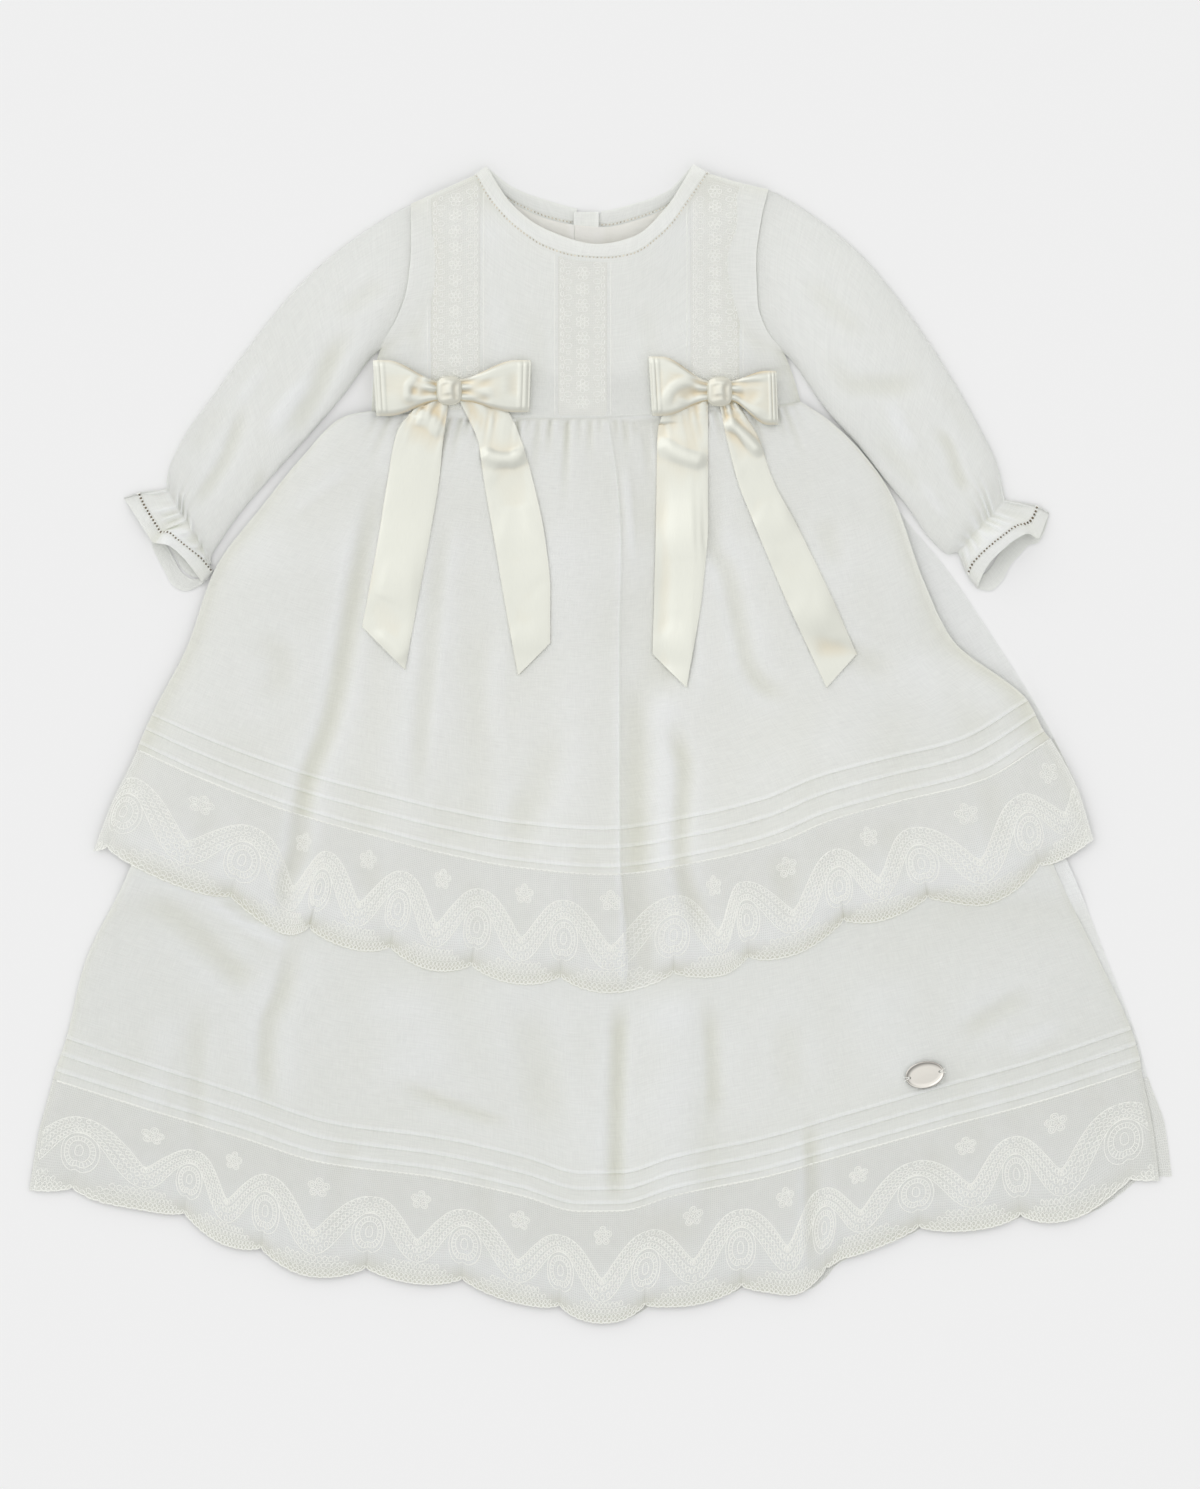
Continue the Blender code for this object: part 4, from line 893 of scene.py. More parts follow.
def over_front(u, station):
    x, y = on_row(OVER, u, station)
    into_seam = 1 - ease(station, 0, 4.0)
    at_seam = CLOTH + LAY + 5.0 * dome(OVERSKIRT, x, y, 6) + 0.3
    high = mix(over_z(x, y), at_seam, into_seam * ease(np.minimum(u, 1 - u), 0, 0.03))
    return x, y, high + tuck_height(OVER_TUCKS, station)


# Columns of points: close together at the fold's sharp edge, which crosses the rows at this share.
SHARP = 0.56


def over_columns(u, station):
    """Bends the columns so that one of them follows the fold's edge."""
    left_x, right_x = (column(OVERSKIRT, "station", side, station) for side in ("left_x", "right_x"))
    y = WAIST_Y - station
    edge_x = smooth(*zip(*sorted((spot[1], spot[0]) for spot in PLEAT)), y)
    share = (edge_x - left_x) / (right_x - left_x)
    return np.where(u < SHARP, u * share / SHARP, share + (u - SHARP) * (1 - share) / (1 - SHARP))


fold_columns = (
    steps(0, SHARP - 0.006, 1 / 230)[:-1],
    SHARP + np.array([-0.006, -0.003, -0.001, 0.0, 0.0009, 0.0018, 0.0035, 0.006]),
    steps(SHARP + 0.006, 1, 1 / 230)[1:],
)
over_rows = [0.0, 0.8, 1.8, 3.2, 5.0, 7.5, *tuck_rows(10, OVER_TUCKS, OVER.lace_top, 3.3)]
panel(
    "overskirt_front", "cloth", np.concatenate(fold_columns), over_rows,
    lambda u, v: over_front(over_columns(u, v), v), lambda u, v: skirt_cut(OVER)(over_columns(u, v), v),
    "voile", over_voile,
)

# ---------------------------------------------------------------- overskirt lace
# The same lace edges the overskirt. Its scallops bend down until they lie on the underskirt. Its top
# edge is sewn on under the last pintuck.


def over_lace_z(x, y, station):
    return mix(over_z(x, y), under_z(x, y) + 0.45, hem_drop(station, OVER.lace_end)) - 0.05


lace_rows = [258, 262, 267, 272, 277, 282, 287, 292, 297, 301, 304, 307, 309.5, 311.5, 313.4]
over_lace = front_lace(OVER, 500, lace_rows, tulle, over_lace_z)

# ---------------------------------------------------------------- bodice
# The bodice front is one panel with a round neck. Its two backs lie flat below it, either side of
# the opening, which a button stand bridges. A cream lining shows inside the neck.

Side = namedtuple("Side", "turn left_x left_y right_x right_y")
SIDES = rows_of(
    Side,
    (0, -106, 302, 94, 310), (0.2, -106, 279, 90, 294), (0.45, -108, 256, 87, 270), (0.7, -113, 240, 88, 246),
    (0.85, -118, 231, 93, 231), (1, -123, 222, 102, 220), (1.5, -127, 205, 108, 205), (2, -128, 186, 112, 191),
)
Edge = namedtuple("Edge", "x front_y back_y")
NECKLINE = rows_of(
    Edge,
    (-106, 302, 302), (-88, 310, 310), (-70, 318, 318), (-61, 303, 311), (-47, 288, 302), (-28, 276, 294),
    (-13, 272, 291), (3, 271, 290), (17, 273, 293), (36, 286, 300), (51, 306, 311), (60, 319, 319), (77, 314, 314),
    (94, 310, 310),
)
NECK_LEFT, NECK_RIGHT = -70.0, 60.0
STAND_LEFT, STAND_RIGHT = -15.0, -1.0
OPENING_LEFT, OPENING_RIGHT = -13.4, -2.6
SEAM = 0.6
BODICE_LEFT, BODICE_RIGHT = SIDES[0].left_x, SIDES[0].right_x
BODICE_FOLDS = rows_of(
    Fold,
    ([(-112, 262), (-104, 236), (-100, 206)], 8, -0.9), ([(88, 262), (86, 236), (90, 206)], 8, -0.8),
    ([(-60, 262), (-56, 226), (-52, 198)], 10, 0.5), ([(24, 250), (28, 222), (26, 198)], 9, -0.5),
    ([(-40, 246), (-34, 216), (-36, 192)], 8, -0.5), ([(-124, 214), (-112, 206), (-98, 204)], 5, -0.8),
    ([(106, 212), (96, 206), (84, 205)], 5, -0.8),
)


def neck_y(x, back=False):
    value = "back_y" if back else "front_y"
    sides = (column(part, "x", value, x) for part in (NECKLINE[:3], NECKLINE[2:-2], NECKLINE[-3:]))
    left, middle, right = sides
    return np.where(x <= NECK_LEFT, left, np.where(x >= NECK_RIGHT, right, middle))


def neck_at(x, back=False):
    return float(neck_y(np.array([x]), back)[0])


def waist_y(x):
    u = (x - waist_left) / (waist_right - waist_left)
    return on_row(OVER, np.clip(u, 0, 1), np.zeros_like(u))[1]


def bodice_height(x, y):
    """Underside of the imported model's bodice front."""
    climb = mix(0.3, 1.0, ease(y, 318, 284))
    return CLOTH + LAY + dome(SIDES, x, y, 6) * climb * 5.0


def bodice_z(x, y):
    return bodice_height(x, y) + 0.7 + folds_at(BODICE_FOLDS, x, y) + 0.5 * wobble(x + 90, y)


def bodice_point(x_top, turn, back=False):
    side = (x_top - BODICE_LEFT) / (BODICE_RIGHT - BODICE_LEFT)
    first, last = SIDES[0], SIDES[-1]
    left, right = (column(SIDES, "turn", end, turn) - getattr(first, end) for end in ("left_x", "right_x"))
    shares = []
    for end in ("left_y", "right_y"):
        top, bottom = getattr(first, end), getattr(last, end)
        shares.append((top - column(SIDES, "turn", end, turn)) / (top - bottom))
    top = neck_y(x_top, back)
    bottom = waist_y(mix(last.left_x, last.right_x, side)) - 0.2
    return x_top + mix(left, right, side), mix(top, bottom, mix(shares[0], shares[1], side))


def armhole_z(turn):
    """How high an armhole's edge lies, from the shoulder, 0, to the underarm, 1."""
    return 2.4 + 3.0 * np.sin(math.pi * np.clip(turn, 0, 1)) ** 0.5


def bodice_front(x_top, turn):
    x, y = bodice_point(x_top, turn)
    side = (x_top - BODICE_LEFT) / (BODICE_RIGHT - BODICE_LEFT)
    rim = ease(np.minimum(side, 1 - side), 0, 0.02) * ease(turn, 0.9, 1.1)
    into_seam = 0.12 * ease(turn, 1.97, 2.0)
    low = 0.5 * (1 - ease(np.minimum(side, 1 - side), 0, 0.02)) * ease(turn, 0.95, 1.1)
    return x, y, np.maximum(bodice_z(x, y), armhole_z(turn) * (turn < 1)) - low - into_seam


def bodice_cut(u, v):
    return u, -v * 68.0


bodice_columns = (
    steps(BODICE_LEFT, NECK_LEFT, 2.4)[:-1],
    steps(NECK_LEFT, NECK_RIGHT, 2.4),
    steps(NECK_RIGHT, BODICE_RIGHT, 2.4)[1:],
)
bodice_rows = [*steps(0, 1.95, 0.033), 1.965, 1.98, 1.99, 2.0]
panel(
    "bodice_front", "cloth", np.concatenate(bodice_columns), bodice_rows, bodice_front, bodice_cut, "voile", voile
)


def bodice_back(inner, outer, side_x):
    """A back: its inner edge is straight, along the opening, and its outer one the side's."""

    def place(x_top, turn):
        y = bodice_point(x_top, turn, back=True)[1]
        x = mix(inner, column(SIDES, "turn", side_x, turn), (x_top - inner) / (outer - inner))
        return x, y, np.full_like(x, BACK_Z)

    return place


for side, inner, corner, outer in (
    ("left", OPENING_LEFT, NECK_LEFT, BODICE_LEFT),
    ("right", OPENING_RIGHT, NECK_RIGHT, BODICE_RIGHT),
):
    columns = sorted(set(steps(outer, corner, 6)) | set(steps(corner, inner, 4)))
    place = bodice_back(inner, outer, f"{side}_x")
    panel(f"bodice_back_{side}", "cloth", columns, steps(0, 2, 0.1), place, bodice_cut, "voile", voile)

lining = cloth_material("lining", (0.965, 0.950, 0.880), 0.04, 0.02, 0.0006, 0.85, 0.1, 0.00008)


def lay_strip(node, cloth, left, right, top, bottom, columns, rows, height, slot, material, thick=VOILE):
    """A straight strip of cloth. top gives the Y of its top edge for an X."""

    def place(u, v):
        x = mix(left, right, u)
        y = mix(top(x), bottom, v)
        return x, y, height(x, y)

    across, down = np.linspace(0, 1, columns + 1), np.linspace(0, 1, rows + 1)
    panel(node, cloth, across, down, place, lambda u, v: (mix(left, right, u), -v * 100.0), slot, material, thick)


STAND_X = (STAND_LEFT + STAND_RIGHT) / 2
STAND_TOP = neck_at(STAND_X, back=True) + 7.0


def inside_z(x, y):
    """The height of the lining, which lies over the button stand."""
    return CLOTH + LAY + MIDDLE + 0.75 * ease(np.abs(x - STAND_X), 12, 7) + 0.25 * wobble(1.7 * x, 1.7 * y)


def stand_z(x, y):
    aside = np.abs(2 * (x - STAND_LEFT) / (STAND_RIGHT - STAND_LEFT) - 1)
    return CLOTH + LAY + MIDDLE + 0.35 * aside**6


LINING_MEETS = -14.6  # the two halves of the lining meet over the stand
for side, left, right in (("left", -48, LINING_MEETS - 0.1), ("right", LINING_MEETS + 0.1, 44)):
    top = lambda x: neck_y(x, back=True) - 1.0
    lay_strip(f"lining_back_{side}", "cloth", left, right, top, 252.0, 20, 16, inside_z, "lining", lining)
lay_strip(
    "button_stand", "cloth", STAND_LEFT, STAND_RIGHT, lambda x: STAND_TOP, 190.0, 10, 50, stand_z, "voile", voile, 0.7
)

# Mother-of-pearl buttons, each turned from shell with a raised rim round a shallow hollow. They are
# sewn to the opening below the stand.
pearl, tree = new_material("pearl_shell", Roughness=0.22, Coat_Weight=0.3)
paint(tree, (0.80, 0.79, 0.75), mottled(tree, 260.0, 0.9, 1.0))
BUTTON_RADIUS, BUTTON_SIDES = 4.2, 32
# From the middle of a button's face to the middle of its underside: radius, as a share, and height.
BUTTON_PROFILE = (
    (0.0, 0.45), (0.5, 0.45), (0.62, 0.62), (0.78, 0.9), (0.9, 0.9), (1.0, 0.55), (0.96, 0.1), (0.8, 0.0), (0.0, 0.0)
)
middle_x = (OPENING_LEFT + OPENING_RIGHT) / 2
angles = np.linspace(0, 2 * math.pi, BUTTON_SIDES + 1)[:-1]
around = [(j, (j + 1) % BUTTON_SIDES) for j in range(BUTTON_SIDES)]
for i in range(4):
    middle_y = mix(STAND_TOP - 14, 202, i / 3)
    spots = []
    for radius, high in BUTTON_PROFILE[1:-1]:
        reach = radius * BUTTON_RADIUS
        ring = (middle_x + reach * np.cos(angles), middle_y + reach * np.sin(angles), np.full(BUTTON_SIDES, high))
        spots.append(np.stack(ring, axis=1))
    ends = [[(middle_x, middle_y, BUTTON_PROFILE[end][1])] for end in (0, -1)]
    last = (len(spots) - 1) * BUTTON_SIDES
    top, bottom = last + BUTTON_SIDES, last + BUTTON_SIDES + 1
    faces = []
    for start in range(0, last, BUTTON_SIDES):
        after = start + BUTTON_SIDES
        faces += [(start + j, start + k, after + k, after + j) for j, k in around]
    faces += [(j, k, top) for j, k in around] + [(last + k, last + j, bottom) for j, k in around]
    button = mesh_piece(f"pearl_button_{i + 1}", np.concatenate(spots + ends), faces)
    bpy.ops.object.shade_smooth_by_angle(angle=math.radians(40))
    dress(button, "button", pearl, f"button_{i + 1}")

# ---------------------------------------------------------------- lace strips of the bodice
# Three strips of narrow embroidered lace, let into the front between pairs of pin tucks. Each has a
# row of eyelet flowers down its middle and a scroll of small loops on either side.

Strip = namedtuple("Strip", "name left right bottom")
LACE_STRIPS = rows_of(
    Strip,
    ("lace_strip_left", -95, -67, 186.0), ("lace_strip_centre", -24, 4, 182.8), ("lace_strip_right", 50, 78, 188.0),
)
STRIP_LIFT = 0.2  # from the middle of the bodice's cloth to a strip's


def strip_z(x, y):
    """The strips' edges are sewn down into the cloth."""
    rims, ends = [], []
    for strip in LACE_STRIPS:
        rims += [np.abs(x - strip.left), np.abs(x - strip.right)]
        beyond = np.abs(x - (strip.left + strip.right) / 2) > 16
        ends.append(y - strip.bottom + 50 * beyond)
    sewn = ease(np.min(rims, axis=0), 0, 1.5) * ease(np.min(ends, axis=0), 0, 3)
    return bodice_z(x, y) + STRIP_LIFT * sewn + 0.02


FLOWER_STEP = 9.0  # from flower to flower down a strip
# The scroll beside each flower: how far out and up each loop lies, its half sizes and its points.
SCROLL = ((8.2, 4.5, 2.2, 1.5, 9), (8.2, 0.6, 1.1, 1.1, 7), (11.4, 2.0, 0.9, 1.5, 7), (11.4, 6.5, 0.9, 1.5, 7))
reach = np.linspace(0, 1, 70)
for strip in LACE_STRIPS:
    left, right, bottom = strip.left, strip.right, strip.bottom
    lay_strip(
        strip.name, "tulle", left, right, lambda x: neck_y(x) - 2.0, bottom, 12, 60, strip_z,
        "lace", narrow_tulle, TULLE,
    )
    middle = (left + right) / 2
    top = neck_at(middle) - 5.0
    lines = []
    for n in range(round((top - bottom) / FLOWER_STEP)):
        y = top - 4 - n * FLOWER_STEP
        turns = [2 * math.pi * (k + 0.5 * (n % 2)) / 6 for k in range(6)]
        lines += [oval(middle + 2.6 * math.cos(turn), y + 2.6 * math.sin(turn), 1.25, 1.25, 8) for turn in turns]
        lines.append(oval(middle, y, 1.0, 1.0, 7))
        for side in (-1, 1):
            for out, up, half_x, half_y, points in SCROLL:
                lines.append(oval(middle + side * out, y + up, half_x, half_y, points))
    for x in (left + 0.8, left + 1.7, middle - 5.2, middle + 5.2, right - 1.7, right - 0.8):
        y = mix(neck_at(x) - 2.6, bottom, reach)
        lines.append(np.stack([x + 0.25 * np.sin(y * 1.4), y], axis=1))
    inside = []
    for x, y in (line.T for line in lines):
        if (y < neck_y(x) - 2.4).all() and (y > bottom).all():
            inside.append(np.column_stack([x, y, strip_z(x, y) + 0.22]))
    dress(threads(f"{strip.name}_embroidery", inside, 0.31), "lace", embroidery)
    tucks = []
    for x in (left - 1.7, right + 1.7):
        y = mix(neck_at(x) - 1.6, float(waist_y(np.array([x]))[0]) + 1.5, reach)
        x = np.full_like(y, x)
        tucks.append(np.column_stack([x, y, bodice_z(x, y) + 0.28]))
    dress(threads(f"{strip.name}_pin_tucks", tucks, 0.24), "voile", embroidery)

# ---------------------------------------------------------------- neck binding
# A narrow band of doubled voile round the neck, joined to the bodice by a ladder of openwork.

Binding = namedtuple("Binding", "along front_x front_y back_x back_y")
BINDING_TOP = rows_of(
    Binding,
    (0, -64, 323, -64, 323), (0.15, -50, 302, -50, 312), (0.32, -32, 288, -33, 305), (0.5, -2, 279, -2, 298),
    (0.66, 18, 283, 18, 302), (0.84, 37, 300, 37, 309), (1, 52, 324, 52, 324),
)
DOUBLED = 0.5  # thickness of the bands' doubled voile


def band_point(lower_x, v, back):
    """A point between the band's free edge, 0, and the bodice's edge, 1."""
    t = (lower_x - NECK_LEFT) / (NECK_RIGHT - NECK_LEFT)
    ends = ("back_x", "back_y") if back else ("front_x", "front_y")
    upper_x, upper_y = (column(BINDING_TOP, "along", end, t) for end in ends)
    lower_y = neck_y(lower_x, back) + SEAM
    return mix(upper_x, lower_x, v), mix(upper_y, lower_y, v)


def band_cloth(node, columns, back):
    def place(u, v):
        x, y = band_point(u, v, back)
        base = 0.0 if back else bodice_height(x, y) + 0.3
        flat = 0.45 + 0.35 * np.sin(np.pi * np.minimum(v / 0.93, 1.0)) ** 0.4
        return x, y, base + mix(flat, 0.27 if back else 0.12, ease(v, 0.93, 0.96))

    rows = [0, 0.1, 0.22, 0.35, 0.5, 0.65, 0.78, 0.88, 0.93, 0.945, 0.96, 1.14]
    panel(node, "cloth", columns, rows, place, lambda u, v: (u, -v * 8.0), "voile", voile, DOUBLED)


def shade_in_holes(name, colour):
    """The shade seen through the small holes of openwork."""
    material, tree = new_material(name, Roughness=1.0, Specular_IOR_Level=0.0)
    paint(tree, colour, mottled(tree, 500.0, 0.7, 1.3))
    return material


NECK_SHADE = shade_in_holes("neck_hole_shade", (0.72, 0.67, 0.57))
CUFF_SHADE = shade_in_holes("cuff_hole_shade", (0.20, 0.16, 0.11))


def run_along(x, y):
    """How far along a line each of its points lies."""
    return np.concatenate([[0], np.cumsum(np.hypot(np.diff(x), np.diff(y)))])


def ladder(name, columns, back, base):
    """Openwork: a row of rungs, with painted shade between them: short dark threads where the holes show the shade
    below.
    """

    def rungs(places, low, high, lift):
        lines = []
        for lower_x in places:
            ends = band_point(np.array([lower_x, lower_x]), np.array([low, high]), back)
            lines.append(np.column_stack([*ends, base(*ends) + lift]))
        return lines

    run = run_along(*band_point(columns, np.full_like(columns, 1.0), back))
    at = np.interp(np.arange(0.4, run[-1], 2.1), run, columns)
    # Short dark threads between the rungs: painted shade where the holes are.
    holes = rungs((at[1:] + at[:-1]) / 2, 0.97, 1.06, 0.1)
    dress(threads(f"{name}_holes", holes, 0.36), "voile", NECK_SHADE)
    dress(threads(name, rungs(at, 0.90, 1.12, 0.0), 0.26), "voile", embroidery)


for part, low, high, base in (
    ("front", NECK_LEFT, NECK_RIGHT, lambda x, y: bodice_height(x, y) + 0.85),
    ("back_left", NECK_LEFT, OPENING_LEFT, lambda x, y: np.full_like(x, 0.6)),
    ("back_right", OPENING_RIGHT, NECK_RIGHT, lambda x, y: np.full_like(x, 0.6)),
):
    band_cloth(f"neck_binding_{part}", steps(low, high, 1.6), part != "front")
    ladder(f"neck_ladder_{part}", steps(low, high, 1.6), part != "front", base)

# ---------------------------------------------------------------- sleeves
# Long sleeves of voile, set into the armholes. Each is one piece with a seam along the underarm, and
# lies flat in long soft folds. Elastic gathers it in at the wrist.

Section = namedtuple("Section", "outer_x outer_y inner_x inner_y bow height")
SLEEVES = {
    "left": rows_of(
        Section,
        (-107, 302, -124, 222, 9, 4.2), (-128, 291, -137, 209, 8, 5.0), (-151, 274, -146, 193, 6, 5.6),
        (-177, 247, -162, 174, 4, 5.6), (-199, 219, -181, 153, 2, 5.6), (-218, 193, -200, 131, 1, 5.6),
        (-233, 172, -211, 116, 0, 5.4), (-242, 152, -218, 104, 0, 5.0), (-243, 143, -218, 101, 0, 4.4),
    ),
    "right": rows_of(
        Section,
        (95, 310, 103, 220, 12, 4.2), (113, 302, 117, 206, 10, 5.0), (135, 285, 127, 186, 7, 5.6),
        (157, 261, 143, 168, 4, 5.6), (176, 236, 158, 149, 2, 5.6), (195, 207, 172, 132, 1, 5.6),
        (210, 181, 184, 115, 0, 5.4), (222, 156, 195, 106, 0, 5.0), (226.5, 137, 200, 107, 0, 4.4),
    ),
}
CUFFS = {
    "left": rows_of(
        Section,
        (-243.8, 142.4, -218.8, 100.2, 0, 4.4), (-258, 138, -226, 93, 2, 5.6),
    ),
    "right": rows_of(
        Section,
        (227.0, 136.4, 200.4, 106.4, 0, 4.4), (242, 136, 204, 95, 2, 5.6),
    ),
}
SLEEVE_FOLDS = rows_of(
    Fold,
    ([(-136, 238), (-150, 217), (-158, 199), (-168, 180), (-172, 166)], 9, -2.6, 0.3, 0.1),
    ([(-188, 158), (-193, 138), (-196, 124)], 6, -2.4, 0.3, 0.2),
    ([(-197, 192), (-202, 176), (-209, 158), (-219, 142), (-228, 128)], 7, -2.0, 0.3, -0.2),
    ([(-158, 208), (-176, 188), (-188, 168)], 8, 1.4), ([(-210, 196), (-222, 176), (-230, 160)], 12, -1.0),
    ([(-118, 262), (-132, 250), (-150, 236)], 9, -1.0), ([(-186, 214), (-196, 200), (-204, 186)], 6, 0.8),
    ([(112, 262), (130, 244), (150, 224)], 10, -1.0), ([(122, 226), (142, 200), (166, 200), (182, 212)], 10, -1.6),
    ([(184, 178), (194, 166), (200, 148), (206, 138)], 6, -2.2, 0.3, 0.2),
    ([(160, 196), (168, 176), (178, 160)], 7, 1.3), ([(186, 206), (200, 188), (210, 166)], 8, -0.8),
    ([(150, 176), (166, 156), (182, 138)], 7, -1.2), ([(176, 152), (186, 136), (196, 122)], 5, 1.0),
)
ARMHOLE_SEAM = -1.0
TUBE_EDGE = 1.6


def tube_point(section, out_x, out_y, turn):
    """A point of a flattened tube: turn goes over the top from the outer edge, then back below."""
    angle = 2 * math.pi * turn
    t = (1 - np.cos(angle)) / 2
    upper = np.sin(angle) >= -1e-9
    reach = -section.bow * np.sin(math.pi * t)
    swell = TUBE_EDGE + (section.height - TUBE_EDGE) * np.abs(np.sin(angle)) ** 0.8
    below = TUBE_EDGE * (1 - np.minimum(1.0, 2.6 * np.abs(np.sin(angle))))
    x = mix(section.outer_x, section.inner_x, t) + out_x * reach
    y = mix(section.outer_y, section.inner_y, t) + out_y * reach
    return x, y, np.where(upper, swell, below), t, upper


def section_at(table, v):
    places = np.linspace(0, 1, len(table))
    return Section(*(smooth(places, [getattr(row, field) for row in table], v) for field in Section._fields))


def along_arm(table):
    """The way an arm points at its end."""
    first, last = table[max(len(table) - 4, 0)], table[-1]
    out_x = last.outer_x + last.inner_x - first.outer_x - first.inner_x
    out_y = last.outer_y + last.inner_y - first.outer_y - first.inner_y
    return Vector((out_x, out_y)).normalized()


def ripples(turn, count, start):
    """Uneven gathers round a tube: crests near 1 and narrower troughs near -1."""
    swing = 0.55 * np.sin(2 * math.pi * (3 * turn + start)) + 0.3 * np.sin(2 * math.pi * (7 * turn + 2 * start))
    return 1 - 2 * np.abs(np.sin(math.pi * (count * turn + swing))) ** 0.8


def flat_cut(width, length):
    """The place of points on a straight piece of cloth, as it was cut."""
    return lambda u, v: (u * width, -v * length)


def sleeve_place(side):
    table, arm = SLEEVES[side], along_arm(SLEEVES[side])
    out = -1.0 if side == "left" else 1.0

    def place(turn, v):
        section = section_at(table, v)
        x, y, z, t, upper = tube_point(section, mix(out, arm.x, v), mix(0.0, arm.y, v), turn)
        seam_x, seam_y = out * (1 - 0.3 * t), 0.6 * t
        size = np.hypot(seam_x, seam_y)
        armhole_x = column(SIDES, "turn", f"{side}_x", t) + seam_x / size * ARMHOLE_SEAM
        armhole_y = column(SIDES, "turn", f"{side}_y", t) + seam_y / size * ARMHOLE_SEAM
        away = ease(v, 0, 0.35)
        x, y = mix(armhole_x, x, away), mix(armhole_y, y, away)
        inside = np.sqrt(np.clip(4 * t * (1 - t), 0, 1)) * upper
        z = z + inside * folds_at(SLEEVE_FOLDS, x, y)
        wrist = ripples(turn, 17, 0.3) * ease(v, 0.80 + 0.05 * np.sin(23 * turn), 1.0)
        z = z + inside * 1.3 * wrist
        set_in = ease(v, 0.07, 0.0) * upper * ease(inside, 0.0, 0.3)
        return x, y, mix(z, armhole_z(t) - 0.3, set_in)

    return place


sleeve_rows = np.concatenate([steps(0, 0.8, 1 / 60)[:-1], steps(0.8, 1, 1 / 150)])
for side in SLEEVES:
    panel(
        f"sleeve_{side}", "cloth", np.linspace(0, 1, 97), sleeve_rows, sleeve_place(side),
        flat_cut(170.0, 215.0), "voile", voile, tube=True,
    )

# ---------------------------------------------------------------- cuffs
# Below the elastic each sleeve flares into a short frill, joined by a ladder of openwork to a band
# of doubled voile that binds its mouth.

# The lines of each cuff from its outer edge, 0, to its inner edge, 1: the ladder and the free edge of
# the upper side, the free edge of the lower side, and how high the upper side stands. The outer part
# lies flat as a wing, and the mouth stands open beside it.
Line = namedtuple("Line", "across ladder_x ladder_y edge_x edge_y low_x low_y high")
CUFF_LINES = {
    "left": rows_of(
        Line,
        (0.00, -258.5, 140.5, -266.8, 137.5, -266.8, 137.5, 1.6),
        (0.12, -256.0, 135.0, -262.8, 131.3, -261.5, 131.8, 3.4),
        (0.25, -252.3, 128.5, -257.8, 123.5, -256.5, 124.4, 4.2),
        (0.36, -248.0, 121.8, -253.2, 116.4, -252.0, 116.8, 4.0),
        (0.44, -245.5, 118.3, -250.2, 112.4, -250.5, 109.0, 4.0),
        (0.50, -242.2, 118.4, -247.0, 111.9, -248.0, 103.9, 6.4),
        (0.62, -236.0, 114.0, -241.5, 110.6, -243.9, 96.1, 9.0),
        (0.76, -228.8, 108.4, -233.9, 104.6, -239.2, 88.2, 9.4),
        (0.88, -223.2, 103.9, -228.3, 97.7, -232.2, 85.4, 7.0),
        (1.00, -217.0, 96.1, -222.4, 89.3, -222.4, 89.3, 1.6),
    ),
    "right": rows_of(
        Line,
        (0.00, 244.6, 133.4, 251.1, 129.1, 251.1, 129.1, 1.6), (0.10, 242.8, 128.5, 248.4, 122.4, 249.4, 121.4, 3.6),
        (0.20, 239.5, 124.0, 244.6, 114.6, 244.6, 112.0, 4.2), (0.30, 232.7, 121.8, 239.5, 117.4, 240.6, 111.3, 6.0),
        (0.45, 225.5, 116.8, 231.1, 113.5, 234.9, 105.7, 8.8), (0.60, 218.2, 111.2, 223.8, 107.4, 229.4, 99.5, 9.6),
        (0.75, 211.5, 105.0, 217.1, 100.6, 224.9, 91.1, 8.6), (0.88, 207.0, 99.4, 213.2, 93.3, 217.7, 85.5, 6.0),
        (1.00, 205.3, 93.8, 211.0, 86.6, 211.0, 86.6, 1.6),
    ),
}
CUFF_LOW = 0.45
ELASTIC_HEIGHT = 4.6


def cuff_point(side, turn, v):
    """A point of a cuff: v runs from the elastic, 0, to the ladder, 1, and on to the free edge, 2."""
    angle = 2 * math.pi * turn
    t = (1 - np.cos(angle)) / 2
    upper = np.sin(angle) >= -1e-9
    start = CUFFS[side][0]
    x, y = mix(start.outer_x, start.inner_x, t), mix(start.outer_y, start.inner_y, t)
    middle_x, middle_y, end_x, end_y, low_x, low_y, high = (
        column(CUFF_LINES[side], "across", value, t) for value in Line._fields[1:]
    )
    middle_x = np.where(upper, middle_x, mix(x, low_x, 0.62))
    middle_y = np.where(upper, middle_y, mix(y, low_y, 0.62))
    end_x, end_y = np.where(upper, end_x, low_x), np.where(upper, end_y, low_y)
    frill, band = np.clip(v, 0, 1), np.clip(v - 1, 0, 1)
    x = mix(mix(x, middle_x, frill), end_x, band)
    y = mix(mix(y, middle_y, frill), end_y, band)
    inside = np.abs(np.sin(angle)) ** 0.8
    puffs = 2.4 * np.sin(math.pi * np.clip(frill * 0.9, 0, 1)) * ease(high, 3.6, 6.5)
    folds = 1.5 * ripples(turn, 17, 0.3) * (1 - ease(frill, 0.35, 1.0)) * ease(frill, -0.3, 0.25)
    swell = mix(ELASTIC_HEIGHT - TUBE_EDGE, high - TUBE_EDGE, ease(v, 0.0, 1.2))
    top = TUBE_EDGE + inside * (swell + puffs + folds)
    below = CUFF_LOW + (TUBE_EDGE - CUFF_LOW) * (1 - np.minimum(1.0, 2.6 * np.abs(np.sin(angle))))
    return x, y, np.where(upper, top, below)


def frill_place(side):
    arm = along_arm(CUFFS[side])

    def place(turn, v):
        x, y, z = cuff_point(side, turn, np.maximum(v, 0) * 0.975)
        tucked = np.clip(-v, 0, 1)
        return x - arm.x * 1.5 * tucked, y - arm.y * 1.5 * tucked, z - 0.3 * tucked * (turn < 0.5)

    return place


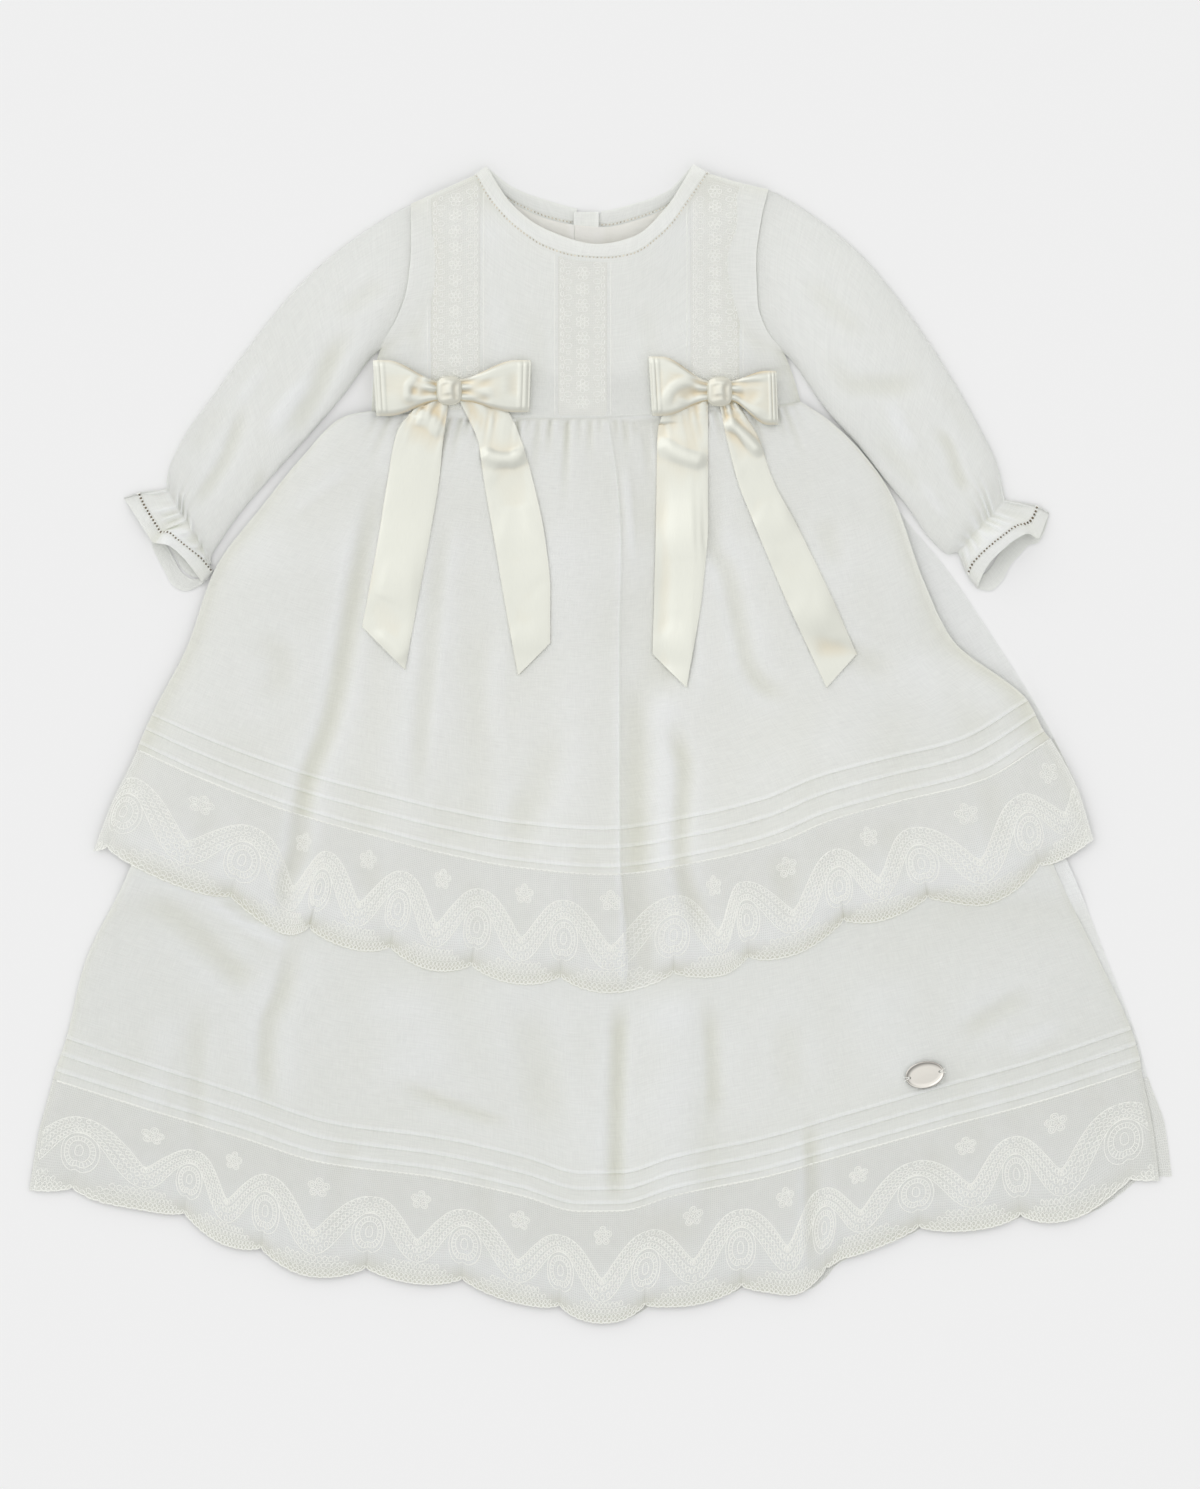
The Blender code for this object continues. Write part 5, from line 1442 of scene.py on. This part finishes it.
def cuff_band_place(side):
    def place(turn, v):
        x, y, z = cuff_point(side, turn, 1.0 + v)
        return x, y, z + 0.3 * np.sin(math.pi * v) * (turn < 0.5)

    return place


def cuff_ladder(side):
    """Short rungs, with painted shade between them: dark threads where the holes show the shaded inside."""

    def rung(turn, low, high, lift):
        x, y, z = cuff_point(side, np.array([turn, turn]), np.array([low, high]))
        return np.column_stack([x, y, z + lift])

    turns = np.linspace(0, 0.5, 200)
    run = run_along(*cuff_point(side, turns, np.ones_like(turns))[:2])
    at = np.interp(np.arange(0.5, run[-1], 2.0), run, turns)
    # Dark threads between the rungs: painted shade of the cuff's inside, seen through the holes.
    between = enumerate((at[1:] + at[:-1]) / 2)
    holes = [rung(turn, 0.975, 1.075 + 0.03 * math.sin(2.3 * n), 0.45) for n, turn in between]
    dress(threads(f"cuff_ladder_{side}_holes", holes, 0.46), "voile", CUFF_SHADE)
    dress(threads(f"cuff_ladder_{side}", [rung(turn, 0.955, 1.15, 0.35) for turn in at], 0.50), "voile", embroidery)


for side in CUFFS:
    for name, place, rows, thick in (
        ("cuff_frill", frill_place(side), [-1.0, *np.linspace(0, 1, 19)], VOILE),
        ("cuff_binding", cuff_band_place(side), [0.11, 0.16, 0.3, 0.45, 0.6, 0.75, 0.88, 1.0], DOUBLED),
    ):
        around, cut = np.linspace(0, 1, 129), flat_cut(120.0, 16.0)
        panel(f"{name}_{side}", "cloth", around, rows, place, cut, "voile", voile, thick, tube=True)
    cuff_ladder(side)

# ---------------------------------------------------------------- bows
# Two bows of ivory satin ribbon, sewn on over the waist seam. Each has two flattened loops, a knot
# and two tails with slanting ends.

RIBBON_CLOTH, RIBBON_WIDTH = 0.5, 29.0  # a ribbon's thickness and width
LOOP_SWELL = 1.3  # half the height between a loop's two layers
KNOT_HEIGHT = 6.8
Loop = namedtuple("Loop", "name knot_x knot_top knot_bottom end_x end_top low_x end_bottom")
LOOPS = rows_of(
    Loop,
    ("bow_left_loop_outer", -92.4, 204, 190, -127, 214, -125, 183),
    ("bow_left_loop_inner", -76.6, 205, 190, -39, 214, -40, 185),
    ("bow_right_loop_inner", 58.6, 204, 190, 27, 216, 29, 183),
    ("bow_right_loop_outer", 74.4, 204, 190, 98, 208, 99, 178),
)
Knot = namedtuple("Knot", "name x y half_x half_y")
KNOTS = rows_of(
    Knot,
    ("bow_left_knot", -84.5, 197, 7.6, 8.2), ("bow_right_knot", 66.5, 196.5, 7.6, 8.4),
)
Across = namedtuple("Across", "left_x left_y right_x right_y")
TAILS = {
    "bow_left_tail_outer": rows_of(
        Across,
        (-99, 193, -84.5, 193), (-114, 173, -88, 169), (-119, 146, -90, 148), (-124, 114, -95, 117),
        (-129, 86, -101, 84), (-133, 65, -109, 41),
    ),
    "bow_left_tail_inner": rows_of(
        Across,
        (-80, 194, -56, 194), (-68, 167, -46, 174), (-65, 146, -38, 148), (-59, 112, -31, 115), (-54, 82, -28, 86),
        (-46, 38, -28, 56),
    ),
    "bow_right_tail_inner": rows_of(
        Across,
        (40, 193, 60, 193), (32, 174, 60, 167), (31, 126, 60, 125), (30, 86, 57, 86), (29, 50, 48, 31),
    ),
    "bow_right_tail_outer": rows_of(
        Across,
        (66, 192, 75, 192), (71, 168, 88, 171), (77, 145, 96, 148), (86, 122, 110, 121), (100, 88, 127, 86),
        (126, 31, 143, 50),
    ),
}

IVORY = (0.758, 0.764, 0.687)
GOLD_SHADE = (0.700, 0.560, 0.330)  # painted shade: the warm gold painted in folds, in hollows and near the knot
satin, tree = new_material("ribbon_satin", Metallic=0.30, Roughness=0.27, Specular_IOR_Level=0.6)
cloth = join(tree, "UVMap", uv_map="UVMap")
run = join(tree, "VectorMath", cloth, (2600.0, 160.0, 1.0), operation="MULTIPLY")
grain = noise(tree, run, 1.0, 1.0)
# Painted shade: the satin's colour moves from ivory towards a warm gold in its hollows and near the knots.
gold_shaded = join(tree, "Attribute", attribute_name="gold_shade").node.outputs["Fac"]
to_gold_shade = tuple(deep - pale for deep, pale in zip(GOLD_SHADE, IVORY))
tinted = join(tree, "VectorMath", gold_shaded, to_gold_shade, IVORY, operation="MULTIPLY_ADD")
paint(tree, tinted, join(tree, "MapRange", grain, 0.3, 0.7, 0.97, 1.0))
emboss(tree, grain, 0.00003, 0.6)


def paint_gold_shade(piece):
    """Marks how much warm gold shade is painted on a ribbon at each point: most in its hollows and near the knot."""
    knot = KNOTS["right" in piece.name]
    spots, hollow = hollows(piece)
    # Painted shade, warmest near the knot and in the ribbon's hollows; a knot gets a little all over.
    near = 1 - ease(np.hypot(spots[:, 0] - knot.x, spots[:, 1] - knot.y), 8, 46)
    gold_shade = np.clip(0.34 * near + (0.50 + 0.50 * near) * (hollow - 0.05), 0, 0.85)
    if "knot" in piece.name:
        gold_shade = np.clip(0.14 + 0.25 * hollow, 0, 0.4)
    piece.data.attributes.new("gold_shade", "FLOAT", "POINT").data.foreach_set("value", gold_shade)
    return piece


def cloth_top(x, y):
    """The top of the cloth that the bows lie on."""
    skirt = over_z(x, np.minimum(y, WAIST_Y + 6))
    return np.where(y > waist_y(x) - 1.0, bodice_z(x, y) + STRIP_LIFT, skirt) + VOILE / 2


def ribbon_rest(x, y):
    """The middle of a ribbon that lies on the cloth and bridges its narrow folds."""
    near = [cloth_top(x + i * 4.0, y + j * 4.0) for i in (-1, 0, 1) for j in (-1, 0, 1)]
    most = np.max(near, axis=0)
    return most + np.log(np.mean(np.exp(2.5 * (near - most)), axis=0)) / 2.5 + RIBBON_CLOTH / 2 + 0.25


# Creases pressed into the loops' upper layers and along the tails.
LOOP_CREASES = {
    "bow_left_loop_outer": rows_of(
        Fold,
        ([(-101, 204.5), (-96.5, 199.5), (-92.5, 193.5)], 4.4, 0.76, 0.25, 0.2),
        ([(-101, 200.5), (-104.4, 202.8), (-107.6, 199), (-107.6, 194), (-104.4, 190.8)], 3.3, 0.49, 0.3),
        ([(-104.2, 200), (-104.2, 193.5)], 3.6, -0.66, 0.4),
        ([(-93, 190.5), (-101, 188.5), (-113, 190)], 4.1, -0.60),
        ([(-92, 201), (-99, 207), (-112, 211)], 5.5, 0.43, 0.4), ([(-116, 210), (-117, 192)], 8.2, -0.33, 0.4),
    ),
    "bow_left_loop_inner": rows_of(
        Fold,
        ([(-77, 203), (-66, 207), (-50, 211)], 6.2, 0.66), ([(-77, 199), (-68, 200), (-58, 203)], 3.4, -0.49),
        ([(-76, 192), (-68, 192), (-60, 190.5)], 4.7, -0.70), ([(-76, 196), (-66, 196), (-58, 195)], 4.1, 0.38),
        ([(-50, 212), (-49.5, 200), (-50, 191)], 5.5, -0.49, 0.4, 0.2),
    ),
    "bow_right_loop_inner": rows_of(
        Fold,
        ([(36, 186), (38, 195), (44, 201), (55, 203.5)], 4.4, 0.76, 0.3),
        ([(57, 197), (50, 194.5), (46, 190)], 6.8, -0.82), ([(36, 212), (46, 208), (57, 203)], 4.1, 0.38, 0.4),
        ([(58, 190), (50, 188.5), (42, 188)], 3.4, -0.33, 0.4), ([(33, 213), (32.5, 190)], 3.4, -0.33),
    ),
    "bow_right_loop_outer": rows_of(
        Fold,
        ([(75, 203.5), (84, 204), (96, 204.5)], 3.0, 0.54, 0.3), ([(75, 196), (82, 195), (88, 190)], 7.6, -0.87),
        ([(76, 190), (84, 186), (94, 183)], 4.1, 0.49), ([(77, 200), (84, 201), (92, 200)], 3.0, -0.33),
    ),
}


def loop_place(loop):
    ends = np.linspace(loop.knot_x, loop.end_x, 6)
    sides = np.linspace(loop.end_top, loop.end_bottom, 6)
    base = float(cloth_top(np.repeat(ends, 6), np.tile(sides, 6)).max()) + 0.2
    inward = 2.2 * np.sign(loop.knot_x - loop.end_x)  # how far the loop reaches in under the knot

    def place(path, v):
        out = 1 - np.abs(2 * path - 1)
        spread = ease(out, 0.0, 0.75)
        top = mix(loop.knot_top - 1.5, loop.end_top, spread)
        bottom = mix(loop.knot_bottom + 1.5, loop.end_bottom, spread)
        x = mix(loop.knot_x + inward, mix(loop.end_x, loop.low_x, v), np.minimum(out * 1.06, 1.0))
        y = mix(top, bottom, v)
        half = LOOP_SWELL * mix(0.55, 1.0, ease(out, 0, 0.4)) * np.sqrt(1 - ease(out, 0.86, 1.0))
        upper = path >= 0.5
        pleats = 0.7 * np.cos(2 * math.pi * (2.2 * v + 0.15)) * ease(out, 0.42, 0.05) * ease(out, 0.0, 0.04)
        puff = 0.9 * np.sin(math.pi * v) ** 0.7 * np.sin(math.pi * np.minimum(out * 1.1, 1.0)) ** 0.8
        rim = ease(np.abs(2 * v - 1), 0.8, 1.0)
        half = half * (1 - 0.7 * rim)
        stripes = 0.4 * np.abs(np.sin(math.pi * np.clip((1 - out) / 0.075, 0, 3))) * (1 - rim)
        creases = folds_at(LOOP_CREASES[loop.name], x, y) * ease(out, 0.98, 0.84)
        lower = base + LOOP_SWELL - half - 0.15 * pleats
        higher = base + LOOP_SWELL + half + pleats + puff + stripes + np.maximum(creases, -1.4 * half)
        return x, y, np.where(upper, higher, lower)

    return place


path = np.concatenate([np.linspace(0, 0.42, 20), np.linspace(0.425, 0.575, 34), np.linspace(0.58, 1, 50)])
for loop in LOOPS:
    paint_gold_shade(
        panel(
            loop.name, "ribbon", path, np.linspace(0, 1, 37), loop_place(loop),
            lambda u, v: (v * RIBBON_WIDTH, u * 76.0), "satin", satin, RIBBON_CLOTH,
        )
    )

KNOT_FULLNESS = 0.8
KNOT_CREASES = rows_of(
    Fold,
    ([(-5.5, 8), (-3.5, 2), (-4.5, -7)], 2.2, -0.5, 0.3), ([(6.5, 7), (3.5, 1), (5.0, -8)], 2.2, -0.5, 0.3),
    ([(-7, 3), (0, 5.0), (7, 3)], 1.8, 0.4, 0.3), ([(-6, -4), (1, -3), (6, -6)], 2.0, -0.4, 0.3),
    ([(1.5, 7), (0.5, 0), (2, -7)], 2.5, 0.5, 0.3),
)
for knot in KNOTS:
    bpy.ops.object.select_all(action="DESELECT")
    bpy.ops.mesh.primitive_uv_sphere_add(segments=96, ring_count=64, radius=1.0)
    piece = bpy.context.object
    piece.name = f"{knot.name}_ribbon"
    base = float(cloth_top(np.array([knot.x]), np.array([knot.y]))[0])
    spots = np.empty(len(piece.data.vertices) * 3)
    piece.data.vertices.foreach_get("co", spots)
    spots = spots.reshape(-1, 3)
    x, y, z = (np.sign(spots) * np.abs(spots) ** KNOT_FULLNESS).T
    beside_x = (knot.half_x + 0.7) * x * (1 - 0.14 * (1 - y * y))
    beside_y = knot.half_y * y
    crease = folds_at(KNOT_CREASES, beside_x, beside_y) * np.maximum(z, 0.0)
    high = base + KNOT_HEIGHT / 2 * (1 + z) + crease
    spots = np.stack([knot.x + beside_x, knot.y + beside_y, high], axis=1) * MM
    piece.data.vertices.foreach_set("co", spots.ravel())
    bpy.ops.object.shade_smooth()
    dress(paint_gold_shade(piece), "satin", satin, knot.name)

TAIL_CREASES = {
    "bow_left_tail_outer": rows_of(
        Fold,
        ([(-106, 183), (-96, 180), (-88, 170)], 6.8, 1.22, 0.25, 0.1),
        ([(-110, 173), (-99, 169), (-92, 158)], 7.5, -0.94),
        ([(-122, 134), (-108, 126), (-92, 128)], 19.5, -0.81, 0.3),
        ([(-126, 92), (-114, 90), (-98, 92)], 18.0, 0.68, 0.3),
        ([(-132, 76), (-120, 71), (-106, 60)], 10.5, -1.22, 0.25),
        ([(-128, 64), (-116, 54), (-109, 44)], 7.5, 0.94, 0.3),
    ),
    "bow_left_tail_inner": rows_of(
        Fold,
        ([(-68, 164), (-60, 158.5), (-51, 157.5), (-38, 165)], 7.2, 1.89, 0.2, 0.2),
        ([(-66, 174), (-54, 169), (-44, 174)], 9.8, -1.49, 0.3),
        ([(-62, 150), (-50, 143), (-36, 147)], 13.5, -1.49, 0.25),
        ([(-60, 122), (-46, 120), (-32, 124)], 19.5, 0.81, 0.3),
        ([(-44, 78), (-36, 86), (-28, 95)], 5.2, -0.54, 0.3), ([(-52, 62), (-42, 58), (-30, 62)], 12.0, 0.54, 0.3),
    ),
    "bow_right_tail_inner": rows_of(
        Fold,
        ([(30, 169), (44, 160), (60, 155)], 7.5, 1.62, 0.2, 0.2),
        ([(34, 181), (46, 175), (60, 168)], 9.8, -1.49, 0.25),
        ([(30, 152), (46, 146), (60, 144)], 13.5, -0.94, 0.25), ([(30, 122), (46, 118), (60, 120)], 21.0, 0.54, 0.3),
        ([(30, 92), (44, 88), (58, 90)], 18.0, -0.54, 0.3), ([(30, 64), (42, 56), (54, 58)], 15.0, 0.68, 0.3),
    ),
    "bow_right_tail_outer": rows_of(
        Fold,
        ([(69, 181), (79, 172), (91, 160)], 5.1, 1.76, 0.2, 0.1),
        ([(71, 176), (76, 166), (80, 152)], 5.1, -1.22, 0.3), ([(76, 152), (86, 149), (98, 152)], 12.0, -0.94, 0.3),
        ([(84, 128), (96, 124), (110, 128)], 15.0, 0.81, 0.3),
        ([(92, 104), (106, 98), (120, 102)], 13.5, -0.94, 0.3), ([(104, 78), (118, 72), (132, 78)], 15.0, 0.81, 0.3),
        ([(118, 54), (130, 50), (142, 58)], 10.5, -1.08, 0.3),
    ),
}


def tail_place(name):
    table = TAILS[name]
    places = np.linspace(0, 1, len(table))

    def place(u, v):
        edge = [smooth(places, [getattr(row, field) for row in table], v) for field in Across._fields]
        x, y = mix(edge[0], edge[2], u), mix(edge[1], edge[3], u)
        creases = folds_at(TAIL_CREASES[name], x, y)
        creases = np.maximum(creases, 0) + 0.3 * np.minimum(creases, 0)
        pressed = -0.25 * np.abs(2 * u - 1) ** 8
        pleats = 0.35 * np.cos(2 * math.pi * (2.1 * u + 0.1)) * (1 - ease(v, 0.03, 0.16))
        return x, y, ribbon_rest(x, y) + creases + 0.3 + pressed + pleats

    return place


for name in TAILS:
    across, down, cut = np.linspace(0, 1, 31), np.linspace(0, 1, 131), flat_cut(RIBBON_WIDTH, 150.0)
    paint_gold_shade(panel(name, "ribbon", across, down, tail_place(name), cut, "satin", satin, RIBBON_CLOTH))

# ---------------------------------------------------------------- hem plate
# A small oval plate of polished nickel with a turned rim, sewn to the underskirt through a hole at
# each end.

PLATE_LENGTH, PLATE_WIDTH, PLATE_SIDES = 22.0, 15.0, 64
PLATE_X, PLATE_Y, PLATE_TILT = 181.0, -185.0, math.radians(12.0)
# From the plate's flat middle over its rim and down: how far out, as a share, and height.
PLATE_PROFILE = (
    (0.30, 0.80), (0.60, 0.76), (0.80, 0.74), (0.86, 0.95), (0.90, 1.15), (0.95, 1.15), (0.99, 0.9), (1.0, 0.5),
    (0.97, 0.0),
)
HOLE_REACH, HOLE_RADIUS = 8.6, 0.75
nickel, tree = new_material("nickel", Base_Color=(0.66, 0.635, 0.585, 1), Metallic=1.0)
tree.links.new(mottled(tree, 900.0, 0.10, 0.18), tree.nodes["Principled BSDF"].inputs["Roughness"])

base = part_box("hem_plate")[0][2] / MM
angles = np.linspace(0, 2 * math.pi, PLATE_SIDES + 1)[:-1]
around = [(j, (j + 1) % PLATE_SIDES) for j in range(PLATE_SIDES)]
spots, faces = [(0.0, 0.0, 0.82)], [(0, j + 1, k + 1) for j, k in around]
for share, high in PLATE_PROFILE:
    inset = (1 - share) * PLATE_WIDTH / 2
    wide, long = PLATE_WIDTH / 2 - inset, PLATE_LENGTH / 2 - inset
    spots += [(long * math.cos(a), wide * math.sin(a), high) for a in angles]
last = 1 + (len(PLATE_PROFILE) - 1) * PLATE_SIDES
for start in range(1, last, PLATE_SIDES):
    after = start + PLATE_SIDES
    faces += [(start + j, after + j, after + k, start + k) for j, k in around]
faces.append([last + j for j in range(PLATE_SIDES)])
x, y, z = np.array(spots).T
east, north = math.cos(PLATE_TILT), math.sin(PLATE_TILT)
spots = np.stack([PLATE_X + x * east - y * north, PLATE_Y + x * north + y * east, base + z], axis=1)
plate = mesh_piece("hem_plate_oval", spots, faces)
stitches = []
reach = np.linspace(0, 1, 9)
for side in (-1, 1):
    hole_x, hole_y = PLATE_X + side * HOLE_REACH * east, PLATE_Y + side * HOLE_REACH * north
    place = (hole_x * MM, hole_y * MM, base * MM)
    bpy.ops.object.select_all(action="DESELECT")
    bpy.ops.mesh.primitive_cylinder_add(vertices=20, radius=HOLE_RADIUS * MM, depth=6 * MM, location=place)
    drill = bpy.context.object
    plate.modifiers.new("hole", "BOOLEAN").object = drill
    bpy.context.view_layer.objects.active = plate
    bpy.ops.object.modifier_apply(modifier="hole")
    bpy.data.objects.remove(drill, do_unlink=True)
    z = base + 1.25 - 1.3 * reach**3 + 0.1 * np.sin(math.pi * reach)
    for slant in (-0.35, 0.35):
        x = hole_x + side * 3.6 * reach * math.cos(PLATE_TILT + slant)
        y = hole_y + side * 3.6 * reach * math.sin(PLATE_TILT + slant)
        stitches.append(np.column_stack([x, y, z]))
pick(plate)
bpy.ops.object.shade_smooth_by_angle(angle=math.radians(35))
dress(plate, "plate", nickel, "hem_plate")
dress(threads("hem_plate_stitches", stitches, 0.22), "voile", embroidery)

# ---------------------------------------------------------------- seams
# Fine stitching in white cotton thread: along the waist, the armholes, and the rows that join the
# laces to their skirts. It is sewn through the top cloth in short separate stitches.

STITCH, STITCH_GAP = 2.2, 0.9


def stitch_line(x, y, z):
    """A row of separate stitches along a line of points."""
    run = run_along(x, y)
    lines = []
    for start in np.arange(0, run[-1] - STITCH, STITCH + STITCH_GAP):
        at = start + STITCH * np.array([0.0, 0.25, 0.75, 1.0])
        rise = np.array([-0.1, 0.12, 0.12, -0.1])
        lines.append(np.column_stack([np.interp(at, run, x), np.interp(at, run, y), np.interp(at, run, z) + rise]))
    return lines


across = np.linspace(0.004, 0.996, 400)
rows = []
for place, tier in ((over_lace, OVER), (under_lace, UNDER)):
    x, y, z = place(across, np.full_like(across, tier.lace_top + 1.3))
    rows += stitch_line(x, y + 1.0, z + 0.25)
    rows.append(np.column_stack([x, y + 1.35, z + 0.33]))
dress(threads("lace_seams", rows, 0.30), "lace", embroidery)

rows = []
turn = np.linspace(0.03, 0.98, 80)
for edge in (BODICE_LEFT + 1.8, BODICE_RIGHT - 1.8):
    x, y = bodice_point(np.full_like(turn, edge), turn)
    rows += stitch_line(x, y, bodice_z(x, y) + 0.25)
x_top = np.linspace(BODICE_LEFT + 2, BODICE_RIGHT - 2, 160)
x, y = bodice_point(x_top, np.full_like(x_top, 1.955))
rows += stitch_line(x, y, bodice_z(x, y) + 0.2)
dress(threads("bodice_seams", rows, 0.14), "voile", embroidery)

# ---------------------------------------------------------------- what the sheets were cut from
# Each panel's flat size, across and down, and its area where it isn't a rectangle.

SKIRT, LACE, BODICE = ("gathered", (0.56, 0.27), 0.125), ("gathered", (0.60, 0.062), 0.034), "bodice_front_cloth"
UNDERSKIRT, UNDER_LACE = ("gathered", (0.633, 0.445), 0.225), ("gathered", (0.66, 0.060), 0.0365)
CUT = [
    ("overskirt_back_cloth", *SKIRT, [], []),
    ("overskirt_lace_back_tulle", *LACE, [], []),
    ("underskirt_back_cloth", *UNDERSKIRT, ["overskirt_back_cloth"], []),
    ("underskirt_lace_back_tulle", *UNDER_LACE, [], []),
    ("underskirt_front_cloth", *UNDERSKIRT, ["underskirt_back_cloth"], []),
    ("underskirt_lace_front_tulle", *UNDER_LACE, ["underskirt_lace_back_tulle"], ["underskirt_lace_embroidery"]),
    ("overskirt_front_cloth", *SKIRT, ["underskirt_front_cloth"], []),
    ("overskirt_lace_front_tulle", *LACE, ["underskirt_front_cloth"], ["overskirt_lace_embroidery", "lace_seams"]),
    ("bodice_back_left_cloth", "laid", (0.115, 0.136), 0.0125, [], []),
    ("bodice_back_right_cloth", "laid", (0.115, 0.137), 0.0120, [], []),
    ("lining_back_left_cloth", "laid", (0.033, 0.050), 0.0015, ["bodice_back_left_cloth"], []),
    ("lining_back_right_cloth", "laid", (0.058, 0.052), 0.0025, ["bodice_back_right_cloth"], []),
    ("button_stand_cloth", "laid", (0.014, 0.108), None, [], []),
    (BODICE, "laid", (0.240, 0.137), 0.0240, ["bodice_back_left_cloth", "bodice_back_right_cloth"], ["bodice_seams"]),
    (
        "neck_binding_front_cloth", "folded", (0.172, 0.010), None,
        [BODICE], ["neck_ladder_front", "neck_ladder_front_holes"],
    ),
]
for side, width in (("left", 0.064), ("right", 0.070)):
    strip, sleeve, cuff = f"lace_strip_{side}", f"sleeve_{side}_cloth", f"cuff_frill_{side}_cloth"
    back, ladders = [f"bodice_back_{side}_cloth"], [f"neck_ladder_back_{side}", f"neck_ladder_back_{side}_holes"]
    openwork = [f"cuff_ladder_{side}", f"cuff_ladder_{side}_holes"]
    CUT += [
        (f"neck_binding_back_{side}_cloth", "folded", (width, 0.010), None, back, ladders),
        (f"{strip}_tulle", "laid", (0.028, 0.129), None, [BODICE], [f"{strip}_embroidery", f"{strip}_pin_tucks"]),
        (sleeve, "gathered", (0.175, 0.240), 0.028, [], []),
        (cuff, "gathered", (0.120, 0.016), None, [sleeve], []),
        (f"cuff_binding_{side}_cloth", "folded", (0.110, 0.010), None, [cuff], openwork),
        (f"bow_{side}_knot_ribbon", "folded", (0.015, 0.020), None, [BODICE], []),
    ]
    for end in ("outer", "inner"):
        loop = (0.029, 0.060 if (side, end) == ("right", "outer") else 0.076)
        CUT += [
            (f"bow_{side}_loop_{end}_ribbon", "folded", loop, None, [BODICE], []),
            (f"bow_{side}_tail_{end}_ribbon", "laid", (0.029, 0.150), 0.0040, ["overskirt_front_cloth"], []),
        ]
centre = "lace_strip_centre"
CUT.append((f"{centre}_tulle", "laid", (0.028, 0.090), None, [BODICE], [f"{centre}_embroidery", f"{centre}_pin_tucks"]))
